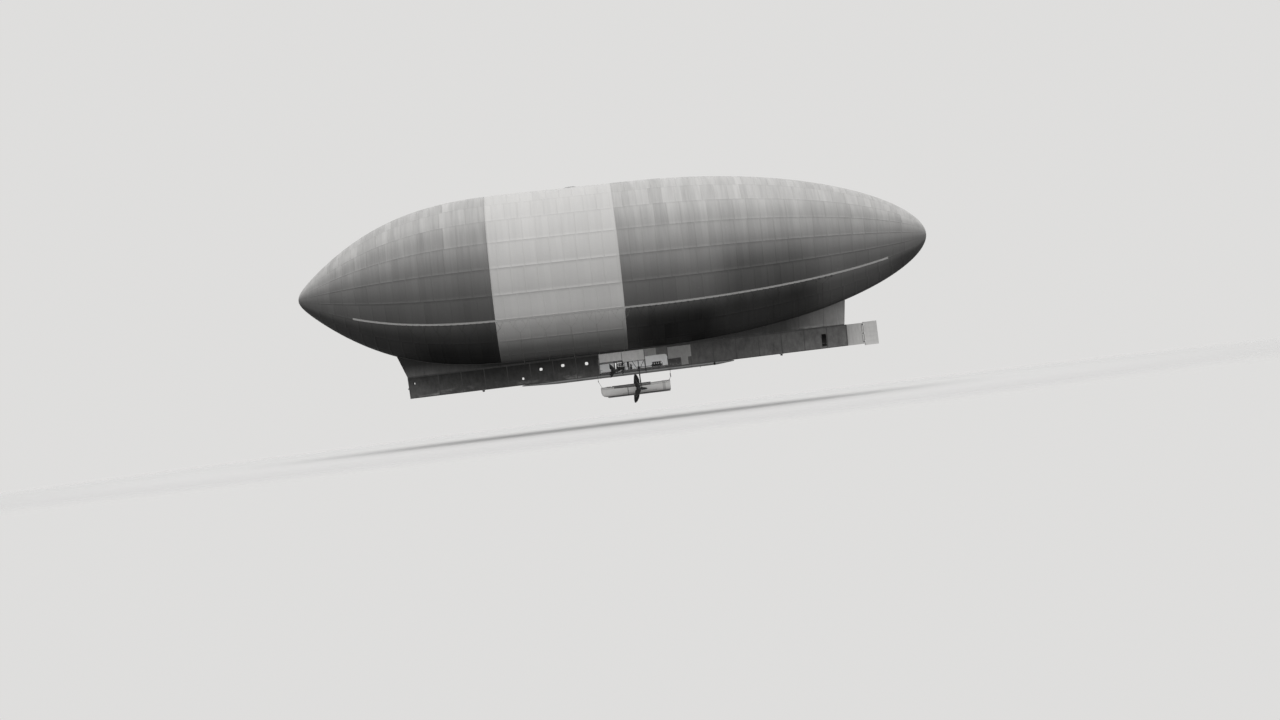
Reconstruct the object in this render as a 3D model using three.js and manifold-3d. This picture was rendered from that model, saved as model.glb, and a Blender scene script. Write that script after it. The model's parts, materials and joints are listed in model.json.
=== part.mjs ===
// Non-rigid airship of about 1910 with a long fabric-sided car, at half of its real size.
// Millimetres. +X towards the bow, +Y to port, +Z up. The origin is the centre of the
// envelope's volume, on its axis. The car is level; the envelope's axis points a little nose-up.
import * as THREE from "three";
import { mergeVertices } from "three/addons/utils/BufferGeometryUtils.js";
import Module from "manifold-3d";

const wasm = await Module();
wasm.setup();

// ---------------------------------------------------------------- driving sizes
const ENV_LENGTH = 34750; // bow tip to stern tip
const ENV_RADIUS = 4609;
const ENV_ORIGIN = 16870; // bow tip to the centre of volume
const ENV_TILT = THREE.MathUtils.degToRad(0.75); // axis nose-up against the car
const ENV_WALL = 10;
const ENV_SIDES = 30;
// radius / ENV_RADIUS = sum of c[k] * t^(k+1), with t = sqrt(distance from the tip / length of the end)
const BOW = { length: 12000, c: [0.7935, -0.8488, 7.034, -9.6959, 3.7171] };
const STERN = { length: 16000, c: [1.0923, 0.5917, -0.4602, -0.2237] };
const BAND_FORE = 6150; // the lighter sewn-in section of the envelope
const BAND_AFT = -807;
const JOINT_GAP = 0.3;

const STRIP_ANGLE = THREE.MathUtils.degToRad(-31); // the suspension strip, below the envelope's side
const STRIP_FORE = 13820;
const STRIP_AFT = -15390;
const STRIP_WIDTH = 110;

const CAR_TOP = -4690;
const CAR_BOTTOM = -5859;
const CAR_FORE = 11413;
const CAR_AFT = -12830;
const CAR_TOP_HALF = 600; // outside of the fabric
const CAR_BOTTOM_HALF = 145;
const COVER = 10;
const BAY = 1262; // frames of the car stand this far apart
const BAY_0 = 915; // the frame at the fore end of the open engine space
const OPEN_AFT = -2871; // the frame at its aft end
const OUTRIGGER_X = 20;
const HANGER_X = -1230;
const TUBE = 15; // radius of the car's steel tubes

const CHORD_TOP = { y: 566, z: CAR_TOP - TUBE };
const CHORD_BOTTOM = { y: 124, z: -5840 };

const TANK = { z: -5898, r: 114, fore: 5245, fore_full: 3215, aft_full: -5455, aft: -6497 };

const FORE_HUB = { x: 257, y: 1400, z: -5645 };
const SWIVEL_AXIS = { x: HANGER_X, z: -6813, y: 1400 };
const SWIVEL_REACH = 247; // swivel axis to the plane of the blades
const SWIVEL_REST = THREE.MathUtils.degToRad(6); // thrust line points this far up at rest
const PROP_RADIUS = 800;
const LEG_Y = 535;

const RUDDER_POST = -13795;
const RUDDER_AFT = -14558;
const RUDDER_TOP = -4657;
const RUDDER_BOTTOM = -5941;

const BOAT = { bow: 955, stern: -2840, wall: 22, keel: -7126 };
const COCKPIT = { fore: 340, aft: -1760, half: 262 };

// ---------------------------------------------------------------- colours and finishes
const finish = (color, roughness = 0.85, metalness = 0) =>
  new THREE.MeshStandardMaterial({ color, roughness, metalness });
const MAT = {
  cloth: finish(0xa8a49c),
  band: finish(0xc4c1b8),
  strip: finish(0xb8b4aa),
  skirt: finish(0x5c5a56),
  cover: finish(0x4a4947),
  canvas: finish(0x8d8a84),
  steel: finish(0x3d3f42, 0.5, 0.8),
  tank: finish(0x77787a, 0.4, 0.8),
  wood: finish(0x8a7558),
  blade: finish(0x2e2c2a, 0.5),
  engine: finish(0x2b2c2e, 0.55, 0.6),
  boat: finish(0xa7a49c, 0.6),
  boat_trim: finish(0x3c3833, 0.7),
  rope: finish(0x6e675a),
  rudder: finish(0xb3b0a8),
};

// ---------------------------------------------------------------- geometry helpers
function solid(geometry) {
  const g = geometry.clone();
  g.deleteAttribute("normal");
  g.deleteAttribute("uv");
  const m = mergeVertices(g, 1e-3);
  return new wasm.Manifold(
    new wasm.Mesh({
      numProp: 3,
      vertProperties: new Float32Array(m.attributes.position.array),
      triVerts: new Uint32Array(m.index.array),
    }),
  );
}

function geometryOf(manifold) {
  const m = manifold.getMesh();
  const g = new THREE.BufferGeometry();
  g.setAttribute("position", new THREE.BufferAttribute(m.vertProperties, 3));
  g.setIndex(new THREE.BufferAttribute(m.triVerts, 1));
  return g;
}

function join(geometries) {
  let all = solid(geometries[0]);
  for (const g of geometries.slice(1)) all = all.add(solid(g));
  return geometryOf(all);
}

function cut(geometry, cutters) {
  let s = solid(geometry);
  for (const c of cutters) s = s.subtract(solid(c));
  return geometryOf(s);
}

const V = (x, y, z) => new THREE.Vector3(x, y, z);

// a round bar from a to b
function bar(a, b, radius = TUBE, sides = 6) {
  const along = b.clone().sub(a);
  const g = new THREE.CylinderGeometry(radius, radius, along.length(), sides);
  g.applyQuaternion(
    new THREE.Quaternion().setFromUnitVectors(V(0, 1, 0), along.clone().normalize()),
  );
  const mid = a.clone().add(b).multiplyScalar(0.5);
  return g.translate(mid.x, mid.y, mid.z);
}

function box(x0, x1, y0, y1, z0, z1) {
  return new THREE.BoxGeometry(
    Math.abs(x1 - x0),
    Math.abs(y1 - y0),
    Math.abs(z1 - z0),
  ).translate((x0 + x1) / 2, (y0 + y1) / 2, (z0 + z1) / 2);
}

// rings of equally many points, each closed, joined in order with flat ends;
// the points of a ring run anticlockwise as seen from the last ring
function loft(rings) {
  const n = rings[0].length;
  const points = [];
  const index = [];
  rings.forEach((ring) => ring.forEach((p) => points.push(p.x, p.y, p.z)));
  for (let i = 0; i + 1 < rings.length; i++)
    for (let j = 0; j < n; j++) {
      const k = (j + 1) % n;
      const a = i * n + j, b = i * n + k, c = (i + 1) * n + k, d = (i + 1) * n + j;
      index.push(a, b, c, a, c, d);
    }
  const end = (rings.length - 1) * n;
  for (let j = 1; j + 1 < n; j++) {
    index.push(0, j + 1, j);
    index.push(end, end + j, end + j + 1);
  }
  const g = new THREE.BufferGeometry();
  g.setAttribute("position", new THREE.Float32BufferAttribute(points, 3));
  g.setIndex(index);
  return g;
}

// turned the right way out, whichever way its rings ran
function facingOut(geometry) {
  const m = solid(geometry);
  if (m.volume() > 0) return geometry;
  const i = geometry.index.array;
  for (let k = 0; k < i.length; k += 3) [i[k + 1], i[k + 2]] = [i[k + 2], i[k + 1]];
  return geometry;
}

const mirrored = (geometry) => {
  const g = geometry.clone().scale(1, -1, 1);
  if (!g.index) {
    const p = g.attributes.position.array;
    for (let k = 0; k < p.length; k += 9)
      for (let j = 0; j < 3; j++) [p[k + 3 + j], p[k + 6 + j]] = [p[k + 6 + j], p[k + 3 + j]];
    return g;
  }
  const i = g.index.array;
  for (let k = 0; k < i.length; k += 3) [i[k + 1], i[k + 2]] = [i[k + 2], i[k + 1]];
  return g;
};

const airship = new THREE.Group();
airship.name = "airship";
const envelope = new THREE.Group();
envelope.rotation.y = -ENV_TILT;
const car = new THREE.Group();
airship.add(envelope, car);

function add(group, name, geometry, material) {
  const mesh = new THREE.Mesh(geometry, material);
  mesh.name = name;
  group.add(mesh);
  return mesh;
}

// ---------------------------------------------------------------- envelope
function envelopeRadius(fromBow) {
  const part = (end, u) => {
    const t = Math.sqrt(Math.max(u, 0) / end.length);
    return end.c.reduce((sum, c, k) => sum + c * t ** (k + 1), 0);
  };
  const aft = ENV_LENGTH - fromBow;
  if (fromBow < BOW.length) return ENV_RADIUS * part(BOW, fromBow);
  if (aft < STERN.length) return ENV_RADIUS * part(STERN, aft);
  return ENV_RADIUS;
}
const radiusAt = (x) => envelopeRadius(ENV_ORIGIN - x); // x along the envelope's own axis

// a shell of revolution about X between stations measured from the bow; a closed end sits on the axis
function shell(stations, closedFore, closedAft) {
  const outer = stations.map((u) => new THREE.Vector2(envelopeRadius(u), ENV_ORIGIN - u));
  const inner = stations
    .map((u, i) => {
      const first = i === 0 && closedFore;
      const last = i === stations.length - 1 && closedAft;
      const shift = first ? 3 * ENV_WALL : last ? -3 * ENV_WALL : 0;
      return first || last
        ? new THREE.Vector2(0, ENV_ORIGIN - u - shift)
        : new THREE.Vector2(Math.max(envelopeRadius(u) - ENV_WALL, 1), ENV_ORIGIN - u);
    })
    .reverse();
  const profile = [...outer, ...inner];
  if (!closedAft) profile.push(outer[0].clone());
  if (closedAft && !closedFore) profile.push(outer[0].clone());
  const g = new THREE.LatheGeometry(profile, ENV_SIDES);
  g.rotateZ(-Math.PI / 2); // the lathe's Y axis becomes X
  g.rotateX(Math.PI / ENV_SIDES);
  return g;
}
const steps = (n, f) => Array.from({ length: n }, (_, i) => f(i / (n - 1)));
const bowStations = steps(11, (t) => (ENV_ORIGIN - BAND_FORE - JOINT_GAP) * t ** 1.9);
const bandStations = [ENV_ORIGIN - BAND_FORE, ENV_ORIGIN - 4870, ENV_ORIGIN - BAND_AFT];
const sternStations = steps(
  12,
  (t) => ENV_LENGTH - (ENV_LENGTH - ENV_ORIGIN + BAND_AFT - JOINT_GAP) * (1 - t) ** 1.6,
);
add(envelope, "envelope_bow", facingOut(shell(bowStations, true, false)), MAT.cloth);
add(envelope, "envelope_band", facingOut(shell(bandStations, false, false)), MAT.band);
add(envelope, "envelope_stern", facingOut(shell(sternStations, false, true)), MAT.cloth);

// a point just off the cloth, at an angle below the port side
function onCloth(x, angle, off) {
  const r = radiusAt(x) + off;
  return V(x, r * Math.cos(angle), r * Math.sin(angle));
}

// the sewn-on strip and the stays that leave it, lie on the cloth and end above the car's edge
const STAY_X = steps(9, (t) => 10400 - t * 22000);
// the strip bends where the cloth's own rings and the stays are
const STRIP_X = [...bowStations, ...bandStations, ...sternStations]
  .map((u) => ENV_ORIGIN - u)
  .filter((x) => x < STRIP_FORE - 150 && x > STRIP_AFT + 150)
  .filter((x) => STAY_X.every((s) => Math.abs(s - x) > 1))
  .concat(STAY_X, STRIP_FORE, STRIP_AFT)
  .sort((a, b) => b - a)
  .filter((x, i, all) => !i || all[i - 1] - x > 1);
function suspension(side) {
  const strip = [];
  for (const x of STRIP_X) {
    const half = STRIP_WIDTH / 2 / radiusAt(x);
    const a = STRIP_ANGLE;
    strip.push([
      onCloth(x, a - half, 3),
      onCloth(x, a + half, 3),
      onCloth(x, a + half, 14),
      onCloth(x, a - half, 14),
    ]);
  }
  const pieces = [facingOut(loft(strip))];
  for (const x of STAY_X) {
    // leaves the cloth where the straight run to the car's edge touches it
    const r = radiusAt(x) + 10;
    const lift = x * Math.sin(ENV_TILT);
    const cy = 606;
    const cz = CAR_TOP + 12 - lift;
    const reach = Math.hypot(cy, cz);
    const leave = Math.atan2(cz, cy) + Math.acos(Math.min(1, r / reach));
    // bent where the cloth's own facets meet
    const angles = [STRIP_ANGLE];
    for (let d = -36; THREE.MathUtils.degToRad(d) > leave + 0.03; d -= 360 / ENV_SIDES)
      angles.push(THREE.MathUtils.degToRad(d));
    angles.push(leave);
    const path = angles.map((a) => onCloth(x, a, 10));
    path.push(V(x, cy, cz));
    const rings = path.map((p, i) => {
      const along = path[Math.min(i + 1, path.length - 1)].clone().sub(path[Math.max(i - 1, 0)]);
      const off = V(0, -along.z, along.y).normalize();
      return [[-7, 0], [0, -7], [7, 0], [0, 7]].map(([u, w]) =>
        p.clone().add(V(u, 0, 0)).addScaledVector(off, w),
      );
    });
    pieces.push(facingOut(loft(rings)));
  }
  const g = join(pieces);
  return side > 0 ? g : mirrored(g);
}
add(envelope, "suspension_port", suspension(1), MAT.strip);
add(envelope, "suspension_starboard", suspension(-1), MAT.strip);

const valve = new THREE.LatheGeometry(
  [
    [0, 0],
    [330, 0],
    [330, 18],
    [296, 26],
    [284, 40],
    [150, 56],
    [0, 60],
  ].map(([r, z]) => new THREE.Vector2(r, z)),
  20,
)
  .rotateX(Math.PI / 2)
  .translate(1400, 0, ENV_RADIUS + 1);
add(envelope, "gas_valve", facingOut(valve), MAT.steel);

// ---------------------------------------------------------------- skirt between car and belly
// height of the cloth above a point of the car, in the car's frame
function belly(x, y) {
  // one step of the envelope's small tilt is enough here
  const r = radiusAt(x);
  const z = -Math.sqrt(Math.max(r * r - y * y, 0));
  const xe = x * Math.cos(ENV_TILT) + z * Math.sin(ENV_TILT);
  const re = radiusAt(xe);
  const ze = -Math.sqrt(Math.max(re * re - y * y, 0));
  return ze * Math.cos(ENV_TILT) + xe * Math.sin(ENV_TILT);
}
const SKIRT_Y = 588;
const SKIRT_JOIN = -1609;
const SKIRT_GAP = 14;
// columns: fore or aft end, x of its foot, x of its head
const SKIRT_END = { bow: [CAR_FORE - 4, 11870], stern: [-12722, -12913] };

function skirtSide(xFoot, xHead, xJoin) {
  // the side panel as a flat shape in X and Z
  const shape = new THREE.Shape();
  const foot = CAR_TOP + 5;
  shape.moveTo(xJoin, foot);
  const n = 18;
  for (let i = 0; i <= n; i++) {
    const x = xJoin + ((xHead - xJoin) * i) / n;
    shape.lineTo(x, belly(x, SKIRT_Y + COVER) - SKIRT_GAP);
  }
  shape.lineTo(xFoot, foot);
  shape.closePath();
  const g = new THREE.ExtrudeGeometry(shape, { depth: COVER, bevelEnabled: false });
  g.rotateX(Math.PI / 2); // the shape's Y becomes Z, its depth runs to -Y
  return g.translate(0, SKIRT_Y + COVER, 0);
}
function skirt(end, xJoin) {
  const [xFoot, xHead] = SKIRT_END[end];
  const port = facingOut(skirtSide(xFoot, xHead, xJoin));
  // the end panel leans between the two sides
  const out = Math.sign(xFoot - xJoin);
  const headZ = belly(xHead - out * 12, SKIRT_Y + COVER) - SKIRT_GAP;
  const foot = CAR_TOP + 5;
  const face = steps(9, (t) => -SKIRT_Y - 3 + t * 2 * (SKIRT_Y + 3)).map((y) => {
    // the head of the panel dips with the belly
    const z = Math.min(headZ, belly(xHead, y) - SKIRT_GAP);
    const share = (z - foot) / (headZ - foot);
    const x = xFoot + (xHead - xFoot) * share;
    return [
      V(xFoot - out * COVER, y, foot),
      V(xFoot, y, foot),
      V(x, y, z),
      V(x - out * COVER, y, z),
    ];
  });
  const endPanel = facingOut(loft(face));
  return join([port, mirrored(port), endPanel]);
}
add(car, "skirt_bow", skirt("bow", SKIRT_JOIN + 0.2), MAT.skirt);
add(car, "skirt_stern", skirt("stern", SKIRT_JOIN - 0.2), MAT.skirt);

// ---------------------------------------------------------------- the car's side planes
// (x, z) on the sloping side of the car; inset is measured square to the side, inwards
const SLOPE = Math.atan2(CAR_TOP_HALF - CAR_BOTTOM_HALF, CAR_TOP - CAR_BOTTOM); // from upright
const sideY = (z) =>
  CAR_BOTTOM_HALF + ((CAR_TOP_HALF - CAR_BOTTOM_HALF) * (z - CAR_BOTTOM)) / (CAR_TOP - CAR_BOTTOM);
// shape drawn as (x, z) with z a true height; holes likewise
function sidePanel(outline, holes = []) {
  const up = (z) => (z - CAR_BOTTOM) / Math.cos(SLOPE);
  const shape = new THREE.Shape(outline.map(([x, z]) => new THREE.Vector2(x, up(z))));
  shape.holes = holes.map(
    (h) => new THREE.Path(h.map(([x, z]) => new THREE.Vector2(x, up(z)))),
  );
  const g = new THREE.ExtrudeGeometry(shape, { depth: COVER, bevelEnabled: false });
  g.rotateX(Math.PI / 2); // upright in X and Z, depth towards -Y
  g.rotateX(-SLOPE); // leans outwards towards its top
  return facingOut(g.translate(0, CAR_BOTTOM_HALF, CAR_BOTTOM));
}
const rect = (x0, x1, z0, z1, r = 0, n = 2) => {
  const [a, b] = [Math.min(x0, x1), Math.max(x0, x1)];
  const [c, d] = [Math.min(z0, z1), Math.max(z0, z1)];
  if (!r) return [[a, c], [b, c], [b, d], [a, d]];
  const points = [];
  [[b - r, c + r, -90], [b - r, d - r, 0], [a + r, d - r, 90], [a + r, c + r, 180]].forEach(
    ([x, z, from]) => {
      for (let i = 0; i <= n; i++) {
        const t = THREE.MathUtils.degToRad(from + (90 * i) / n);
        points.push([x + r * Math.cos(t), z + r * Math.sin(t)]);
      }
    },
  );
  return points;
};

// lookouts cut in the fore cover: columns x, z, width, height
const LOOKOUTS = [
  [11090, -5045, 120, 120],
  [5149, -5507, 130, 150],
  [4120, -5107, 180, 170],
  [2907, -5045, 190, 170],
  [1596, -5096, 190, 190],
];
const RADIATOR_HOLE = rect(-2945, -3560, -5398, -5782, 20);
const HATCH = rect(-11405, -11660, -5060, -5725, 15); // port side only
const sternCover = (holes) =>
  sidePanel(rect(OPEN_AFT - 8, CAR_AFT, CAR_TOP, CAR_BOTTOM), holes);
const covers = {
  cover_bow: sidePanel(
    rect(CAR_FORE, BAY_0 + TUBE + 8, CAR_TOP, CAR_BOTTOM),
    LOOKOUTS.map(([x, z, w, h]) =>
      rect(x - w / 2, x + w / 2, z - h / 2, z + h / 2, Math.min(w, h) * 0.35),
    ),
  ),
  cover_stern: sternCover([RADIATOR_HOLE]),
  // the light canvas above the fore engine, stepped down over its aft half
  canvas_fore: sidePanel([
    [915, CAR_TOP],
    [915, -5150],
    [-360, -5150],
    [-400, -5260],
    [-1600, -5260],
    [-1600, CAR_TOP],
  ]),
  canvas_aft: sidePanel([
    [-1618, CAR_TOP],
    [-1618, -5090],
    [-2700, -5090],
    [-2800, -5130],
    [-2840, -5230],
    [-2860, -5340],
    [-2866, CAR_TOP],
  ]),
};
const portOnly = { cover_stern: sternCover([RADIATOR_HOLE, HATCH]) };
// on the far side the light canvas hangs to the foot, with a gap for the outrigger
const CANVAS_FOOT = -5845;
const starboardOnly = {
  canvas_fore: sidePanel([
    [915, CAR_TOP],
    [915, CANVAS_FOOT],
    [75, CANVAS_FOOT],
    [75, -5250],
    [-380, -5250],
    [-380, CANVAS_FOOT],
    [-1600, CANVAS_FOOT],
    [-1600, CAR_TOP],
  ]),
  canvas_aft: sidePanel(rect(-1618, -2866, CANVAS_FOOT, CAR_TOP)),
};
for (const [name, g] of Object.entries(covers)) {
  const material = name.startsWith("canvas") ? MAT.canvas : MAT.cover;
  add(car, name + "_port", portOnly[name] ?? g, material);
  add(car, name + "_starboard", mirrored(starboardOnly[name] ?? g), material);
}

// flat fabric across the two ends of the car
function endCover(x0, x1) {
  const shape = new THREE.Shape();
  const low = CAR_BOTTOM + 2, high = CAR_TOP - 2;
  const a = sideY(low) - 12, b = sideY(high) - 12;
  shape.moveTo(-a, low);
  shape.lineTo(a, low);
  shape.lineTo(b, high);
  shape.lineTo(-b, high);
  shape.closePath();
  const g = new THREE.ExtrudeGeometry(shape, { depth: x1 - x0, bevelEnabled: false });
  g.applyMatrix4(new THREE.Matrix4().makeBasis(V(0, 1, 0), V(0, 0, 1), V(1, 0, 0)));
  return facingOut(g.translate(x0, 0, 0));
}
add(car, "end_cover_bow", endCover(CAR_FORE - 10, CAR_FORE), MAT.cover);
add(car, "end_cover_stern", endCover(CAR_AFT, CAR_AFT + 10), MAT.cover);

// ---------------------------------------------------------------- the car's steel frame
const chordAt = (z) =>
  CHORD_BOTTOM.y +
  ((CHORD_TOP.y - CHORD_BOTTOM.y) * (z - CHORD_BOTTOM.z)) / (CHORD_TOP.z - CHORD_BOTTOM.z);
const frameStations = [];
for (let k = -10; k <= 8; k++) frameStations.push(BAY_0 + BAY * k);

// one sloping side: two chords and the posts between them, with any more bars
function sideFrame(fore, aft, posts, extra = []) {
  const pieces = [
    bar(V(aft, CHORD_TOP.y, CHORD_TOP.z), V(fore, CHORD_TOP.y, CHORD_TOP.z)),
    bar(V(aft, CHORD_BOTTOM.y, CHORD_BOTTOM.z), V(fore, CHORD_BOTTOM.y, CHORD_BOTTOM.z)),
  ];
  for (const x of posts)
    pieces.push(
      bar(V(x, CHORD_BOTTOM.y, CHORD_BOTTOM.z), V(x, CHORD_TOP.y, CHORD_TOP.z), TUBE - 2, 4),
    );
  for (const [x0, z0, x1, z1, r] of extra)
    pieces.push(bar(V(x0, chordAt(z0), z0), V(x1, chordAt(z1), z1), r, 4));
  return join(pieces);
}
// bars in the open engine space: columns x, z, x, z, radius
const OPEN_BARS = [
  [BAY_0, -5233, -347, -5233, 11],
  [-347, -5275, -1609, -5275, 8],
  [-900, -5275, -1205, CHORD_BOTTOM.z, 8],
  [-1560, -5275, -1205, CHORD_BOTTOM.z, 8],
  [BAY_0, CHORD_TOP.z, -347, -5233, 7],
  [-1609, CHORD_TOP.z, -2871, -5120, 7],
];
const frames = {
  side_frame_bow: sideFrame(
    CAR_FORE - 12,
    BAY_0 + TUBE + 0.5,
    [CAR_FORE - 12 - TUBE, ...frameStations.filter((x) => x > BAY_0 + 1 && x < CAR_FORE - 200)],
  ),
  side_frame_mid: sideFrame(
    BAY_0 + TUBE - 1,
    OPEN_AFT - TUBE + 1,
    [BAY_0, OUTRIGGER_X + 55, OUTRIGGER_X - 55, BAY_0 - BAY, HANGER_X, BAY_0 - 2 * BAY, OPEN_AFT],
    OPEN_BARS,
  ),
  side_frame_stern: sideFrame(
    OPEN_AFT - TUBE - 0.5,
    CAR_AFT + 12,
    [CAR_AFT + 12 + TUBE, ...frameStations.filter((x) => x < OPEN_AFT - 1)],
  ),
};
for (const [name, g] of Object.entries(frames)) {
  add(car, name + "_port", g, MAT.steel);
  add(car, name + "_starboard", mirrored(g), MAT.steel);
}

// ties between the two sides, one run of them along the top and one above the tank
function ties(z, half, stations, spineZ) {
  const first = stations[0], last = stations[stations.length - 1];
  return join([
    bar(V(last, 0, spineZ), V(first, 0, spineZ), 12, 4),
    ...stations.map((x) => bar(V(x, -half, z), V(x, half, z), 12, 4)),
  ]);
}
const tieStations = [CAR_FORE - 28, ...frameStations.slice().reverse(), CAR_AFT + 28];
add(
  car,
  "top_ties",
  ties(CHORD_TOP.z, CHORD_TOP.y - TUBE - 6.5, tieStations, CHORD_TOP.z),
  MAT.steel,
);
const saddleZ = TANK.z + TANK.r + 12.5;
add(
  car,
  "keel_ties",
  ties(saddleZ, chordAt(saddleZ) - TUBE * 1.1 - 4.5, tieStations, saddleZ),
  MAT.steel,
);

// plank floors fore and aft of the engine space, on bearers across the car
function floorOf(fore, aft) {
  const z = -5560;
  const half = chordAt(z - 24) - TUBE * 1.1 - 5;
  const bearers = frameStations
    .filter((x) => x < fore - 60 && x > aft + 60)
    .map((x) => box(x - 14, x + 14, -half, half, z - 36, z - 15));
  return join([box(fore, aft, -185, 185, z - 16, z), ...bearers]);
}
add(car, "floor_fore", floorOf(CAR_FORE - 60, 760), MAT.wood);
add(car, "floor_aft", floorOf(-3620, CAR_AFT + 60), MAT.wood);

// bearers under the engines
add(
  car,
  "engine_bed",
  join([
    box(860, -2840, 70, 96, -5752, -5700),
    box(860, -2840, -96, -70, -5752, -5700),
    ...[700, 330, -420, -1000, -1700, -2790].map((x) =>
      box(x - 14, x + 14, -128, 128, -5740, -5712),
    ),
  ]),
  MAT.wood,
);

// ---------------------------------------------------------------- fuel tank along the keel
const tank = new THREE.LatheGeometry(
  [
    [0, TANK.aft],
    [26, TANK.aft],
    [TANK.r, TANK.aft_full],
    [TANK.r, TANK.fore_full],
    [26, TANK.fore],
    [0, TANK.fore],
  ].map(([r, x]) => new THREE.Vector2(r, x)),
  20,
)
  .rotateZ(-Math.PI / 2)
  .rotateX(Math.PI / 20)
  .translate(0, 0, TANK.z);
add(car, "fuel_tank", facingOut(tank), MAT.tank);

// ---------------------------------------------------------------- engines
// a four-cylinder engine in line: crankcase, cylinders, flywheel and a pipe along the heads
function engine(xc, length, zBase, zTop, cylinders) {
  const half = length / 2;
  const zCase = zBase + (zTop - zBase) * 0.45;
  const pieces = [
    box(xc - half, xc + half, -92, 92, zBase, zCase),
  ];
  const pitch = (length * 0.86) / cylinders;
  for (let i = 0; i < cylinders; i++) {
    const x = xc + pitch * (i - (cylinders - 1) / 2);
    pieces.push(bar(V(x, 0, zCase - 5), V(x, 0, zTop), pitch * 0.42, 12));
  }
  pieces.push(
    bar(V(xc - half * 0.85, pitch * 0.4 + 8, zTop - 34), V(xc + half * 0.85, pitch * 0.4 + 8, zTop - 34), 20, 8),
    bar(V(xc - half - 44, 0, zCase - 30), V(xc - half + 5, 0, zCase - 30), zCase - 30 - zBase - 2, 18),
  );
  return join(pieces);
}
add(car, "engine_forward", engine(-240, 420, -5698, -5290, 4), MAT.engine);
add(car, "engine_aft", engine(-2230, 560, -5698, -5440, 4), MAT.engine);

// the small engine that drives the air blower
add(
  car,
  "blower_engine",
  join([
    box(-650, -872, -90, 90, -5698, -5560),
    bar(V(-810, 0, -5565), V(-810, 0, -5400), 48, 12),
    bar(V(-700, -96, -5600), V(-700, 96, -5600), 78, 16),
  ]),
  MAT.engine,
);
// the fabric pipe from the blower to the air bag in the envelope
add(car, "air_duct", bar(V(-670, -90, -5521), V(-670, -90, belly(-670, 160) - 22), 62, 12), MAT.skirt);
add(
  car,
  "radiator",
  join([box(-2990, -3520, -130, 130, -5640, -5440), box(-3100, -3410, -40, 40, -5445, -5400)]),
  MAT.engine,
);
// shaft from the aft engine to the gear case above the swivelling propellers
add(
  car,
  "drive_shaft",
  join([
    bar(V(-1935, 0, -5640), V(HANGER_X, 0, -5640), 18, 10),
    box(HANGER_X - 60, HANGER_X + 60, -70, 70, -5698, -5590),
  ]),
  MAT.steel,
);

// ---------------------------------------------------------------- propellers
// columns: distance from the hub, chord, angle from the disc, thickness, how far forward of the disc
const BLADE = [
  [40, 92, 68, 44, 0],
  [75, 186, 71, 40, 0],
  [130, 272, 69, 34, -10],
  [240, 350, 62, 27, -22],
  [380, 392, 54, 20, -28],
  [520, 392, 48, 16, -18],
  [650, 340, 43, 12, 6],
  [745, 240, 40, 9, 26],
  [PROP_RADIUS, 90, 38, 7, 46],
];
// turns about X, hub at the origin; hand is +1 or -1; angle 0 has its blades upright
function propeller(hand, angleDeg) {
  // one more section between each pair of rows keeps the twisted faces smooth
  const rows = BLADE.flatMap((row, i) =>
    i === 0 ? [row] : [1 / 2, 1].map((t) => row.map((v, k) => BLADE[i - 1][k] * (1 - t) + v * t)),
  );
  const rings = rows.map(([r, chord, angle, thick, forward]) => {
    const a = THREE.MathUtils.degToRad(angle) * hand;
    const c = V(Math.sin(a), Math.cos(a), 0); // along the chord
    const n = V(-Math.cos(a), Math.sin(a), 0); // square to it
    return [
      [-0.5, 0],
      [-0.2, 0.48],
      [0.25, 0.42],
      [0.5, 0],
      [0.2, -0.3],
      [-0.25, -0.3],
    ].map(([u, w]) =>
      V(forward, 0, r)
        .addScaledVector(c, u * chord)
        .addScaledVector(n, w * thick),
    );
  });
  const blade = facingOut(loft(rings));
  const other = blade.clone().rotateX(Math.PI);
  const hub = new THREE.CylinderGeometry(58, 58, 96, 12).rotateZ(Math.PI / 2);
  const nose = new THREE.CylinderGeometry(18, 50, 40, 12).rotateZ(-Math.PI / 2).translate(64, 0, 0);
  return join([hub, nose, blade, other]).rotateX(THREE.MathUtils.degToRad(angleDeg));
}

// fixed pair beside the fore engine
const foreHead = FORE_HUB.x - 52; // aft face of the propeller's hub
function foreOutrigger() {
  const pieces = [
    bar(V(OUTRIGGER_X, -FORE_HUB.y, FORE_HUB.z), V(OUTRIGGER_X, FORE_HUB.y, FORE_HUB.z), 24, 12),
    box(OUTRIGGER_X - 32, OUTRIGGER_X + 60, -66, 66, -5698, -5590),
    bar(V(-29, 0, -5645), V(OUTRIGGER_X, 0, -5645), 20, 8),
  ];
  for (const s of [-1, 1]) {
    const hub = V(OUTRIGGER_X, s * FORE_HUB.y, FORE_HUB.z);
    const post = (x, z) => V(x, s * (chordAt(z) + TUBE * 1.1 + 10), z);
    pieces.push(
      bar(V(OUTRIGGER_X - 50, s * FORE_HUB.y, FORE_HUB.z), V(foreHead - 1, s * FORE_HUB.y, FORE_HUB.z), 44, 14),
      bar(hub, post(OUTRIGGER_X - 55, -5290), 10),
      bar(hub, post(OUTRIGGER_X - 55, -5800), 10),
      bar(hub, post(BAY_0 - BAY, -5330), 9),
      bar(hub, post(BAY_0 - BAY, -5780), 9),
    );
  }
  return join(pieces);
}
add(car, "outrigger_forward", foreOutrigger(), MAT.steel);
// columns: name, side, hand, angle at rest
for (const [name, side, hand, angle] of [
  ["propeller_fore_port", 1, 1, 66],
  ["propeller_fore_starboard", -1, -1, 114],
])
  add(car, name, propeller(hand, angle), MAT.blade).position.set(
    FORE_HUB.x,
    side * FORE_HUB.y,
    FORE_HUB.z,
  );

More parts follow.
